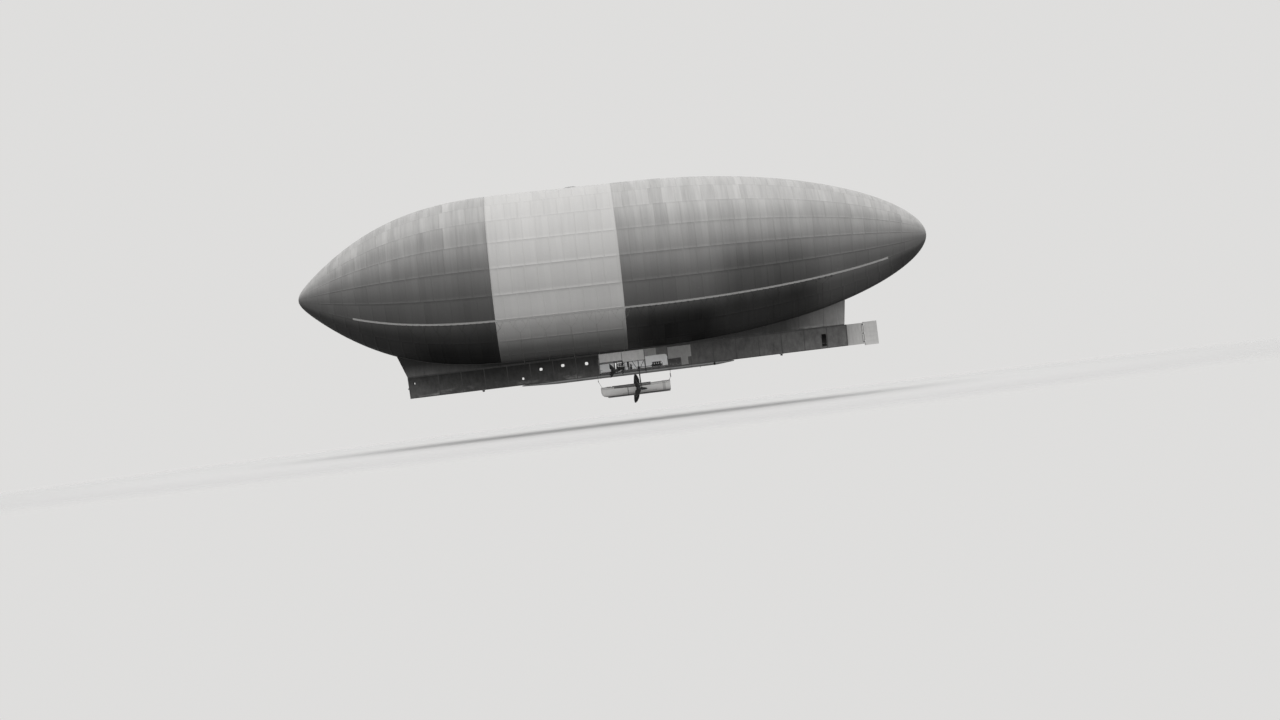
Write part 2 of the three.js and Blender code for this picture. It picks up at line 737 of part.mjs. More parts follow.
// hanger under the car for the swivelling pair, clear of the boat between its legs
function hanger() {
  const beamZ = -6048;
  const pieces = [bar(V(HANGER_X, -LEG_Y, beamZ), V(HANGER_X, LEG_Y, beamZ), 20, 8)];
  for (const s of [-1, 1]) {
    pieces.push(
      bar(V(HANGER_X, s * LEG_Y, beamZ + 16), V(HANGER_X, s * LEG_Y, SWIVEL_AXIS.z), 18, 8),
      bar(V(HANGER_X, s * 165, beamZ), V(HANGER_X, s * 165, -5864), 14, 8),
      bar(V(HANGER_X, s * 165, beamZ), V(HANGER_X, s * LEG_Y, -6400), 11),
      bar(V(HANGER_X, s * (LEG_Y - 24), SWIVEL_AXIS.z), V(HANGER_X, s * (LEG_Y + 24), SWIVEL_AXIS.z), 58, 16),
    );
  }
  return cut(
    join(pieces),
    [-1, 1].map((s) =>
      bar(V(HANGER_X, s * 480, SWIVEL_AXIS.z), V(HANGER_X, s * 590, SWIVEL_AXIS.z), 34, 16),
    ),
  );
}
add(car, "swivel_hanger", hanger(), MAT.steel);

// columns: side word, side, hand, angle at rest
for (const [word, side, hand, angle] of [
  ["port", 1, 1, 57],
  ["starboard", -1, -1, -6],
]) {
  const swivel = new THREE.Group();
  swivel.position.set(SWIVEL_AXIS.x, side * SWIVEL_AXIS.y, SWIVEL_AXIS.z);
  swivel.rotation.y = -SWIVEL_REST;
  car.add(swivel);
  const inner = side * (LEG_Y - 34 - SWIVEL_AXIS.y);
  const collar = side * (LEG_Y + 30 - SWIVEL_AXIS.y);
  add(
    swivel,
    "swivel_arm_" + word,
    join([
      bar(V(0, inner, 0), V(0, 0, 0), 32, 12),
      bar(V(0, side * (LEG_Y - 48 - SWIVEL_AXIS.y), 0), V(0, side * (LEG_Y - 30 - SWIVEL_AXIS.y), 0), 44, 12),
      bar(V(0, collar, 0), V(0, collar + side * 24, 0), 48, 12),
      new THREE.SphereGeometry(82, 12, 8),
      // the gear case runs out in a cone behind
      new THREE.CylinderGeometry(14, 72, 250, 12).rotateZ(Math.PI / 2).translate(-165, 0, 0),
      bar(V(0, 0, 0), V(SWIVEL_REACH - 53, 0, 0), 44, 12),
    ]),
    MAT.steel,
  );
  add(swivel, "propeller_swivel_" + word, propeller(hand, angle), MAT.blade).position.set(
    SWIVEL_REACH,
    0,
    0,
  );
}

// ---------------------------------------------------------------- tail
const LUG_Z = [-4800, -5270, -5740];
const fin = cut(
  join([
    box(CAR_AFT - 1, RUDDER_POST + 24, -14, 14, CAR_BOTTOM, CAR_TOP),
    ...LUG_Z.map((z) => box(RUDDER_POST + 30, RUDDER_POST - 26, -26, 26, z - 20, z + 20)),
  ]),
  LUG_Z.map((z) => bar(V(RUDDER_POST, 0, z - 40), V(RUDDER_POST, 0, z + 40), 17, 12)),
);
add(car, "tail_fin", fin, MAT.rudder);
const rudder = join([
  bar(V(RUDDER_POST, 0, RUDDER_BOTTOM), V(RUDDER_POST, 0, RUDDER_TOP), 14, 12),
  cut(
    box(RUDDER_POST - 8, RUDDER_AFT, -11, 11, RUDDER_BOTTOM, RUDDER_TOP),
    LUG_Z.map((z) => box(RUDDER_POST + 40, RUDDER_POST - 48, -60, 60, z - 28, z + 28)),
  ),
]);
add(car, "rudder", rudder, MAT.rudder);

// ---------------------------------------------------------------- lifeboat
// columns: share of the length from the bow, half beam, height of the hull's bottom, height of the gunwale
const LINES = [
  [0.0, 12, -6790, -6532],
  [0.012, 62, -6930, -6534],
  [0.035, 130, -7010, -6537],
  [0.08, 222, -7052, -6543],
  [0.16, 325, -7068, -6553],
  [0.3, 418, -7071, -6568],
  [0.5, 457, -7071, -6580],
  [0.7, 447, -7071, -6572],
  [0.86, 400, -7068, -6560],
  [0.96, 345, -7060, -6550],
  [1.0, 318, -7052, -6546],
];
const boatX = (s) => BOAT.bow + (BOAT.stern - BOAT.bow) * s;
function hullRings(inset, raise) {
  return LINES.map(([s, half, low, high], i) => {
    const x = boatX(s) - (i === 0 ? inset : 0) + (i === LINES.length - 1 ? inset : 0);
    const h = Math.max(half - inset, 3);
    const bottom = low + inset;
    const top = high + raise;
    const port = steps(6, (t) => {
      const a = (t * Math.PI) / 2;
      return V(x, h * Math.sin(a) ** 0.72, bottom + (high - bottom) * (1 - Math.cos(a) ** 1.25));
    });
    if (raise) port.push(V(x, h, top));
    const starboard = port
      .slice(1)
      .reverse()
      .map((p) => V(p.x, -p.y, p.z));
    return [...port, ...starboard];
  });
}
const hull = cut(facingOut(loft(hullRings(0, 0))), [facingOut(loft(hullRings(BOAT.wall, 60)))]);
const keel = box(boatX(0.09), BOAT.stern + 30, -16, 16, BOAT.keel, -7060);
add(car, "lifeboat_hull", join([hull, keel]), MAT.boat);

const deckRings = LINES.map(([s, half, , high], i) => {
  const x = boatX(s) - (i === 0 ? BOAT.wall + 2 : 0) + (i === LINES.length - 1 ? BOAT.wall + 2 : 0);
  const h = Math.max(half - BOAT.wall - 3, 2);
  const crown = Math.min(24, h * 0.08);
  return [V(x, h, high - 16), V(x, h, high - 1), V(x, 0, high - 1 + crown), V(x, -h, high - 1), V(x, -h, high - 16), V(x, 0, high - 16 + crown)];
});
const deck = facingOut(loft(deckRings));
const well = box(COCKPIT.fore, COCKPIT.aft, -COCKPIT.half, COCKPIT.half, -6700, -6400);
const coaming = cut(
  box(COCKPIT.fore + 14, COCKPIT.aft - 14, -COCKPIT.half - 14, COCKPIT.half + 14, -6640, -6500),
  [well],
);
add(car, "lifeboat_deck", join([cut(deck, [well]), coaming]), MAT.boat_trim);
const benches = join([
  box(300, -1720, -60, 60, -6836, -6820),
  ...[120, -620, -1400].map((x) => box(x - 70, x + 70, -440, 440, -6822, -6800)),
]);
add(
  car,
  "lifeboat_thwarts",
  geometryOf(solid(benches).intersect(solid(facingOut(loft(hullRings(BOAT.wall + 1.5, 0)))))),
  MAT.wood,
);

// falls that hold the boat's two ends: columns name, x at the car, x at the block, block low, block high, x at the boat
for (const [name, xCar, xBlock, low, high, xBoat] of [
  ["boat_fall_forward", 1085, 1066, -6200, -6130, 915],
  ["boat_fall_aft", -2931, -2915, -6385, -6166, -2812],
]) {
  const z = 127; // clear of the tank's side
  add(
    car,
    name,
    join([
      ...[-1, 1].flatMap((s) => [
        bar(V(xCar, s * z, CAR_BOTTOM + 2), V(xCar, s * z, -5964), 8, 4),
        bar(V(xCar, s * z, -5960), V(xBlock, 0, high - 12), 8, 4),
      ]),
      box(xBlock - 26, xBlock + 26, -22, 22, low, high),
      bar(V(xBlock, 0, low + 10), V(xBoat, 0, -6512), 8, 6),
    ]),
    MAT.rope,
  );
}

// ---------------------------------------------------------------- line brackets and the bow fitting
// plates under the keel that the drag line and the mooring line hang from
for (const [name, x] of [
  ["drag_line_bracket", 7386],
  ["handling_bracket", -9130],
])
  add(
    car,
    name,
    join([
      box(x - 90, x + 90, -150, 150, -5878, -5862),
      box(x - 60, x + 60, -12, 12, -5940, -5870),
      box(x - 60, x + 60, -50, 50, -5954, -5938),
    ]),
    MAT.steel,
  );
add(
  car,
  "bow_fitting",
  join([
    box(CAR_FORE + 0.4, CAR_FORE + 14, -110, 110, -5420, -5200),
    bar(V(CAR_FORE + 10, 0, -5310), V(CAR_FORE + 70, 0, -5310), 40, 16),
  ]),
  MAT.steel,
);

export default airship;
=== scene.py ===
# Non-rigid airship of about 1910 with a long fabric-sided car, at half of its real size.
# Metres. +X towards the bow, +Y to port, +Z up. The origin is on the axis of the envelope.
import json
import math

import bpy
import numpy as np
from mathutils import Matrix, Vector

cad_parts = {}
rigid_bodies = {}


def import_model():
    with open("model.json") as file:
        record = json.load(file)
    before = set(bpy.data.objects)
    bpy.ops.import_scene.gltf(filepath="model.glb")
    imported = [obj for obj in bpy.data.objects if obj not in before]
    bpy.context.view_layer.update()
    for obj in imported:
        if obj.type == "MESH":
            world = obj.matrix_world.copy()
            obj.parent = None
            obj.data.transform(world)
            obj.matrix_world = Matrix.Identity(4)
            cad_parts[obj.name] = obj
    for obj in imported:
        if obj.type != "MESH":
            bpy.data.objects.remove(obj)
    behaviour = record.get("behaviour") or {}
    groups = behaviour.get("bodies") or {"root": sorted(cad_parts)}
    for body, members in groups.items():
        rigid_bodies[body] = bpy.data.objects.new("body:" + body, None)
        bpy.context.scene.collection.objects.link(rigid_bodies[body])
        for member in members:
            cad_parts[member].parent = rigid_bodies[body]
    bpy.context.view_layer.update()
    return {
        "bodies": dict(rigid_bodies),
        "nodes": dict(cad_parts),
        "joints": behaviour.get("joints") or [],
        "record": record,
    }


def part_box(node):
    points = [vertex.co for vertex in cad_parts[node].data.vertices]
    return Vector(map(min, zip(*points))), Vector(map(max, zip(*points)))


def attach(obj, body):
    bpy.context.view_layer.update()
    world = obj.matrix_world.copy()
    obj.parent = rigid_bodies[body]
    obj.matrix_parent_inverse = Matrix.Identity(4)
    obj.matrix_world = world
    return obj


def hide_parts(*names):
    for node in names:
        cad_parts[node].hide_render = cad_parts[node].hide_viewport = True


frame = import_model()
NODES = frame["nodes"]

# ---------------------------------------------------------------- driving sizes
ENV_LENGTH, ENV_RADIUS, ENV_ORIGIN = 34.750, 4.609, 16.870
TILT = math.radians(0.75)
COS_T, SIN_T = math.cos(TILT), math.sin(TILT)
# radius / ENV_RADIUS = sum of c[k] * t^(k+1), with t = sqrt(distance from the tip / length of the end)
BOW = (12.0, [0.7935, -0.8488, 7.034, -9.6959, 3.7171])
STERN = (16.0, [1.0923, 0.5917, -0.4602, -0.2237])
BOW_TIP, STERN_TIP = ENV_ORIGIN, ENV_ORIGIN - ENV_LENGTH
BAND_FORE, BAND_AFT = 6.150, -0.807
PANEL = 0.71  # length of a cloth panel along the envelope
GORE = 18.0  # degrees between the lengthwise seams
GORE_AT = 5.0  # one of those seams, in degrees above the horizontal

STRIP_ANGLE = math.radians(-31)
STRIP_FORE, STRIP_AFT, STRIP_WIDTH = 13.82, -15.39, 0.110
CAR_TOP, CAR_BOTTOM = -4.690, -5.859
CAR_FORE, CAR_AFT = 11.413, -12.830
TOP_HALF, BOTTOM_HALF = 0.600, 0.145
BAY, BAY_0, OPEN_AFT = 1.262, 0.915, -2.871
SLOPE = math.atan2(TOP_HALF - BOTTOM_HALF, CAR_TOP - CAR_BOTTOM)  # of the car's side, from upright
STATIONS = [BAY_0 + BAY * k for k in range(-10, 9)]


# ---------------------------------------------------------------- the envelope's form
def env_radius(x):
    u = np.clip(ENV_ORIGIN - np.asarray(x, float), 0, ENV_LENGTH)
    a = ENV_LENGTH - u

    def end(e, d):
        t = np.sqrt(np.clip(d / e[0], 0, 1))
        return sum(c * t ** (k + 1) for k, c in enumerate(e[1]))

    return ENV_RADIUS * np.where(u < BOW[0], end(BOW, u), np.where(a < STERN[0], end(STERN, a), 1.0))


def env_point(x, angle, off=0.0):
    """x along the envelope's axis, angle above the horizontal on the port side, off outwards."""
    x, angle = np.broadcast_arrays(np.asarray(x, float), np.asarray(angle, float))
    r = env_radius(x) + off
    y, z = r * np.cos(angle), r * np.sin(angle)
    return np.stack([x * COS_T - z * SIN_T, y, x * SIN_T + z * COS_T], -1)


def belly(x, y):
    """Height of the envelope's underside over a point of the car's frame."""
    x, y = np.broadcast_arrays(np.asarray(x, float), np.asarray(y, float))
    r = env_radius(x)
    z = -np.sqrt(np.maximum(r * r - y * y, 0))
    xe = x * COS_T + z * SIN_T
    re = env_radius(xe)
    ze = -np.sqrt(np.maximum(re * re - y * y, 0))
    return ze * COS_T + xe * SIN_T


def side_y(z):
    """Outside of the car's port side at a height."""
    return BOTTOM_HALF + (TOP_HALF - BOTTOM_HALF) * (np.asarray(z, float) - CAR_BOTTOM) / (CAR_TOP - CAR_BOTTOM)


def smooth(t):
    t = np.clip(t, 0, 1)
    return t * t * (3 - 2 * t)


def wave(x, seed, n=4, base=1.0):
    """A fixed uneven curve between -1 and 1."""
    x = np.asarray(x, float)
    total, out = 0.0, 0.0
    for k in range(n):
        f = base * (1.0 + 0.73 * k + 0.13 * math.sin(seed * 3.7 + k))
        a = 1.0 / (1 + k * 0.6)
        out = out + a * np.sin(x * f * 2 * math.pi + seed * 5.1 * (k + 1) + 1.7 * k * k)
        total += a
    return out / total


# ---------------------------------------------------------------- meshes
class Shape:
    """Gathers closed bodies into one mesh."""

    def __init__(self):
        self.v, self.f, self.m, self.n = [], [], [], 0

    def add(self, verts, groups, mat=0, orient=True):
        """groups: arrays of faces, each array with one number of corners."""
        verts = np.asarray(verts, float).reshape(-1, 3)
        groups = [np.asarray(g, int) for g in groups if len(g)]
        if orient:
            vol = 0.0
            for g in groups:
                a = verts[g[:, 0]]
                for k in range(1, g.shape[1] - 1):
                    vol += np.einsum("ij,ij->i", a, np.cross(verts[g[:, k]], verts[g[:, k + 1]])).sum()
            if vol < 0:
                groups = [g[:, ::-1] for g in groups]
        used = np.unique(np.concatenate([g.ravel() for g in groups]))
        if len(used) < len(verts):
            new = np.full(len(verts), -1)
            new[used] = np.arange(len(used))
            verts, groups = verts[used], [new[g] for g in groups]
        for g in groups:
            self.f.append(g + self.n)
            self.m.append(np.full(len(g), mat))
        self.v.append(verts)
        self.n += len(verts)
        return self

    def convex(self, verts, faces, mat=0):
        verts = np.asarray(verts, float)
        mid = verts.mean(0)
        by = {}
        for f in faces:
            p = verts[list(f)]
            nrm = np.cross(p[1] - p[0], p[2] - p[0])
            if np.dot(nrm, p.mean(0) - mid) < 0:
                f = f[::-1]
            by.setdefault(len(f), []).append(list(f))
        return self.add(verts, list(by.values()), mat, orient=False)

    def box(self, lo, hi, bevel=0.0, mat=0, frame=None):
        lo, hi = np.minimum(lo, hi).astype(float), np.maximum(lo, hi).astype(float)
        c, h = (lo + hi) / 2, (hi - lo) / 2
        b = min(bevel, h.min() * 0.9)
        signs = [(x, y, z) for x in (-1, 1) for y in (-1, 1) for z in (-1, 1)]
        if b <= 0:
            v = np.array([c + h * np.array(s) for s in signs])
            f = [(0, 1, 3, 2), (4, 5, 7, 6), (0, 1, 5, 4), (2, 3, 7, 6), (0, 2, 6, 4), (1, 3, 7, 5)]
        else:
            v, at = [], {}
            for s in signs:
                for axis in range(3):
                    d = h - b
                    d[axis] = h[axis]
                    at[s + (axis,)] = len(v)
                    v.append(c + d * np.array(s))
            f = []
            for axis in range(3):
                o = [k for k in range(3) if k != axis]
                for s in (-1, 1):
                    quad = []
                    for p, q in ((-1, -1), (1, -1), (1, 1), (-1, 1)):
                        key = [0, 0, 0]
                        key[axis], key[o[0]], key[o[1]] = s, p, q
                        quad.append(at[tuple(key) + (axis,)])
                    f.append(tuple(quad))
                for p in (-1, 1):
                    for q in (-1, 1):
                        k0, k1 = [0, 0, 0], [0, 0, 0]
                        k0[o[0]] = k1[o[0]] = p
                        k0[o[1]] = k1[o[1]] = q
                        k0[axis], k1[axis] = -1, 1
                        k0, k1 = tuple(k0), tuple(k1)
                        f.append((at[k0 + (o[0],)], at[k1 + (o[0],)], at[k1 + (o[1],)], at[k0 + (o[1],)]))
            for s in signs:
                f.append((at[s + (0,)], at[s + (1,)], at[s + (2,)]))
            v = np.array(v)
        if frame is not None:
            v = v @ frame[0].T + frame[1]
        return self.convex(v, f, mat)

    def beam(self, p0, p1, w, h, bevel=0.0, mat=0, up=(0, 0, 1)):
        p0, p1 = np.array(p0, float), np.array(p1, float)
        d = p1 - p0
        length = np.linalg.norm(d)
        d = d / length
        s = np.cross(np.array(up, float), d)
        if np.linalg.norm(s) < 1e-6:
            s = np.cross((0, 1, 0), d)
        s = s / np.linalg.norm(s)
        u = np.cross(d, s)
        basis = np.stack([d, s, u], 1)
        return self.box((0, -w / 2, -h / 2), (length, w / 2, h / 2), bevel, mat, (basis, p0))

    def rings(self, rings, mat=0, caps=True, loop=False):
        """Joins a row of rings, each with the same number of points."""
        rings = np.asarray(rings, float)
        k, n = rings.shape[:2]
        idx = np.arange(k * n).reshape(k, n)
        a, b = (idx, np.roll(idx, -1, 0)) if loop else (idx[:-1], idx[1:])
        quads = np.stack([a, np.roll(a, -1, 1), np.roll(b, -1, 1), b], -1).reshape(-1, 4)
        groups = [quads]
        if caps and not loop:
            groups.append(np.stack([idx[0][::-1], idx[-1]]))
        return self.add(rings.reshape(-1, 3), groups, mat)

    def tube(self, pts, r, n=12, mat=0, loop=False, twist=0.0):
        pts = np.asarray(pts, float)
        if loop:
            t = np.roll(pts, -1, 0) - np.roll(pts, 1, 0)
        else:
            t = np.gradient(pts, axis=0)
        t = t / (np.linalg.norm(t, axis=1, keepdims=True) + 1e-12)
        r = np.broadcast_to(np.asarray(r, float), (len(pts),))
        ref = np.array([0, 0, 1.0]) if abs(t[0][2]) < 0.9 else np.array([1.0, 0, 0])
        nrm = np.cross(t[0], ref)
        nrm /= np.linalg.norm(nrm)
        rings = []
        a = np.arange(n) * 2 * math.pi / n
        for i in range(len(pts)):
            nrm = nrm - t[i] * np.dot(nrm, t[i])
            nrm /= np.linalg.norm(nrm)
            b = np.cross(t[i], nrm)
            ai = a + twist * i
            rings.append(pts[i] + r[i] * (np.outer(np.cos(ai), nrm) + np.outer(np.sin(ai), b)))
        return self.rings(rings, mat, loop=loop)

    def lathe(self, profile, origin=(0, 0, 0), axis=(0, 0, 1), n=24, mat=0, ref=None):
        """profile: (radius, distance along the axis); it starts and ends near the axis."""
        axis = np.array(axis, float)
        axis /= np.linalg.norm(axis)
        if ref is None:
            ref = np.array([0, 0, 1.0]) if abs(axis[2]) < 0.9 else np.array([1.0, 0, 0])
        s = np.cross(axis, ref)
        s /= np.linalg.norm(s)
        u = np.cross(axis, s)
        a = np.arange(n) * 2 * math.pi / n
        rings = [
            np.array(origin, float) + axis * t + max(r, 1e-4) * (np.outer(np.cos(a), s) + np.outer(np.sin(a), u))
            for r, t in profile
        ]
        return self.rings(rings, mat)

    def rod(self, p0, p1, r, n=12, mat=0, chamfer=0.0):
        p0, p1 = np.array(p0, float), np.array(p1, float)
        d = p1 - p0
        length = np.linalg.norm(d)
        c = min(chamfer, r * 0.6, length * 0.3)
        prof = [(r, 0), (r, length)] if c <= 0 else [(r - c, 0), (r, c), (r, length - c), (r - c, length)]
        return self.lathe(prof, p0, d, n, mat)

    def bolt(self, p, axis, r=0.008, h=0.005, mat=0, n=6):
        axis = np.array(axis, float) / np.linalg.norm(axis)
        return self.lathe([(r, 0), (r, h * 0.7), (r * 0.8, h)], np.array(p, float) - axis * 0.001, axis, n, mat)

    def sheet(self, p, thick, keep=None, mat=0, mats=None):
        """A closed sheet over a grid of points; keep says which cells it has."""
        p = np.asarray(p, float)
        nu, nv = p.shape[:2]
        n = np.cross(np.gradient(p, axis=0), np.gradient(p, axis=1))
        n /= np.linalg.norm(n, axis=2, keepdims=True) + 1e-12
        verts = np.concatenate([(p + n * thick / 2).reshape(-1, 3), (p - n * thick / 2).reshape(-1, 3)])
        total = nu * nv
        idx = np.arange(total).reshape(nu, nv)
        cells = np.ones((nu - 1, nv - 1), bool) if keep is None else keep
        q = np.stack([idx[:-1, :-1], idx[1:, :-1], idx[1:, 1:], idx[:-1, 1:]], -1)
        top = q[cells]
        padded = np.zeros((nu + 1, nv + 1), bool)
        padded[1:-1, 1:-1] = cells
        side = []
        # edges that run along the first direction
        above, below = padded[1:-1, 1:], padded[1:-1, :-1]
        i, j = np.nonzero(above & ~below)
        side.append(np.stack([idx[i + 1, j], idx[i, j], idx[i, j] + total, idx[i + 1, j] + total], -1))
        i, j = np.nonzero(below & ~above)
        side.append(np.stack([idx[i, j], idx[i + 1, j], idx[i + 1, j] + total, idx[i, j] + total], -1))
        right, left = padded[1:, 1:-1], padded[:-1, 1:-1]
        i, j = np.nonzero(right & ~left)
        side.append(np.stack([idx[i, j], idx[i, j + 1], idx[i, j + 1] + total, idx[i, j] + total], -1))
        i, j = np.nonzero(left & ~right)
        side.append(np.stack([idx[i, j + 1], idx[i, j], idx[i, j] + total, idx[i, j + 1] + total], -1))
        groups = [top, top[:, ::-1] + total] + [s for s in side if len(s)]
        start = len(self.m)
        self.add(verts, groups, mat, orient=False)
        if mats is not None:
            per = mats[cells]
            self.m[start] = per.copy()
            self.m[start + 1] = per.copy()
        return self

    def obj(self, name, mats, sharp=38.0):
        me = bpy.data.meshes.new(name)
        verts = np.concatenate(self.v)
        me.vertices.add(len(verts))
        me.vertices.foreach_set("co", verts.astype(np.float32).ravel())
        counts = np.concatenate([np.full(len(g), g.shape[1]) for g in self.f])
        loops = np.concatenate([g.ravel() for g in self.f])
        me.loops.add(len(loops))
        me.loops.foreach_set("vertex_index", loops.astype(np.int32))
        me.polygons.add(len(counts))
        me.polygons.foreach_set("loop_start", np.concatenate([[0], np.cumsum(counts)[:-1]]).astype(np.int32))
        me.update(calc_edges=True)
        me.polygons.foreach_set("use_smooth", np.ones(len(counts), bool))
        for m in mats if isinstance(mats, (list, tuple)) else [mats]:
            me.materials.append(m)
        me.polygons.foreach_set("material_index", np.concatenate(self.m).astype(np.int32))
        if sharp:
            me.set_sharp_from_angle(angle=math.radians(sharp))
        me.validate()
        me.update()
        o = bpy.data.objects.new(name, me)
        bpy.context.scene.collection.objects.link(o)
        return o


def place(shape, name, mats, body, nodes=(), sharp=38.0):
    o = shape.obj(name, mats, sharp)
    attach(o, body)
    if nodes:
        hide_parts(*nodes)
    return o


# ---------------------------------------------------------------- materials
class Mat:
    def __init__(self, name, rough=0.7, metal=0.0, spec=0.5):
        self.m = bpy.data.materials.new(name)
        self.m.use_nodes = True
        self.t = self.m.node_tree
        self.t.nodes.clear()
        self.out = self.t.nodes.new("ShaderNodeOutputMaterial")
        self.b = self.t.nodes.new("ShaderNodeBsdfPrincipled")
        self.t.links.new(self.b.outputs[0], self.out.inputs[0])
        self.b.inputs["Roughness"].default_value = rough
        self.b.inputs["Metallic"].default_value = metal
        self.b.inputs["Specular IOR Level"].default_value = spec
        self.co = self.node("ShaderNodeTexCoord").outputs["Object"]

    def node(self, kind, ins=None, **props):
        n = self.t.nodes.new(kind)
        for k, v in props.items():
            setattr(n, k, v)
        for k, v in (ins or {}).items():
            self.put(n.inputs[k], v)
        return n

    def put(self, socket, v):
        if isinstance(v, bpy.types.NodeSocket):
            self.t.links.new(v, socket)
        else:
            socket.default_value = v

    def math(self, op, *a, clamp=False):
        n = self.node("ShaderNodeMath", operation=op, use_clamp=clamp)
        for i, v in enumerate(a):
            self.put(n.inputs[i], v)
        return n.outputs[0]

    def axes(self, vec=None):
        n = self.node("ShaderNodeSeparateXYZ", {0: vec or self.co})
        return n.outputs[0], n.outputs[1], n.outputs[2]

    def vec(self, x, y, z):
        return self.node("ShaderNodeCombineXYZ", {0: x, 1: y, 2: z}).outputs[0]

    def stretch(self, sx, sy, sz, vec=None, turn=(0, 0, 0), move=(0, 0, 0)):
        n = self.node("ShaderNodeMapping", {"Vector": vec or self.co})
        n.inputs["Scale"].default_value = (sx, sy, sz)
        n.inputs["Rotation"].default_value = turn
        n.inputs["Location"].default_value = move
        return n.outputs[0]

    def noise(self, scale=5.0, detail=4.0, rough=0.55, vec=None, warp=0.0):
        n = self.node("ShaderNodeTexNoise", {"Vector": vec or self.co, "Scale": scale, "Detail": detail, "Roughness": rough, "Distortion": warp})
        return n.outputs[0]

    def remap(self, v, a, b, c, d, soft=True):
        n = self.node("ShaderNodeMapRange", {0: v, 1: a, 2: b, 3: c, 4: d})
        n.interpolation_type = "SMOOTHSTEP" if soft else "LINEAR"
        n.clamp = True
        return n.outputs[0]

    def ramp(self, v, stops, kind="LINEAR"):
        n = self.node("ShaderNodeValToRGB", {0: v})
        r = n.color_ramp
        r.interpolation = kind
        while len(r.elements) < len(stops):
            r.elements.new(0.5)
        for e, (p, c) in zip(r.elements, stops):
            e.position = p
            e.color = (c, c, c, 1) if not isinstance(c, (tuple, list)) else tuple(c) + (1,)
        return n.outputs[0]

    def mix(self, f, a, b, kind="MIX"):
        n = self.node("ShaderNodeMix", data_type="RGBA", blend_type=kind)
        self.put(n.inputs[0], f)
        for i, v in ((6, a), (7, b)):
            if isinstance(v, (int, float)):
                v = (v, v, v, 1)
            elif isinstance(v, tuple) and len(v) == 3:
                v = v + (1,)
            self.put(n.inputs[i], v)
        return n.outputs[2]

    def tone(self, value, tint=(1.012, 1.0, 0.982)):
        """Turns a grey value into a slightly warm grey."""
        n = self.node("ShaderNodeVectorMath", {0: tint}, operation="SCALE")
        self.put(n.inputs["Scale"], value)
        return n.outputs[0]

    def colour(self, v):
        self.put(self.b.inputs["Base Color"], v)
        return self

    def rough(self, v):
        self.put(self.b.inputs["Roughness"], v)
        return self

    def bump(self, height, distance=0.005, strength=1.0):
        n = self.node("ShaderNodeBump", {"Height": height, "Distance": distance, "Strength": strength})
        self.put(self.b.inputs["Normal"], n.outputs[0])
        return self


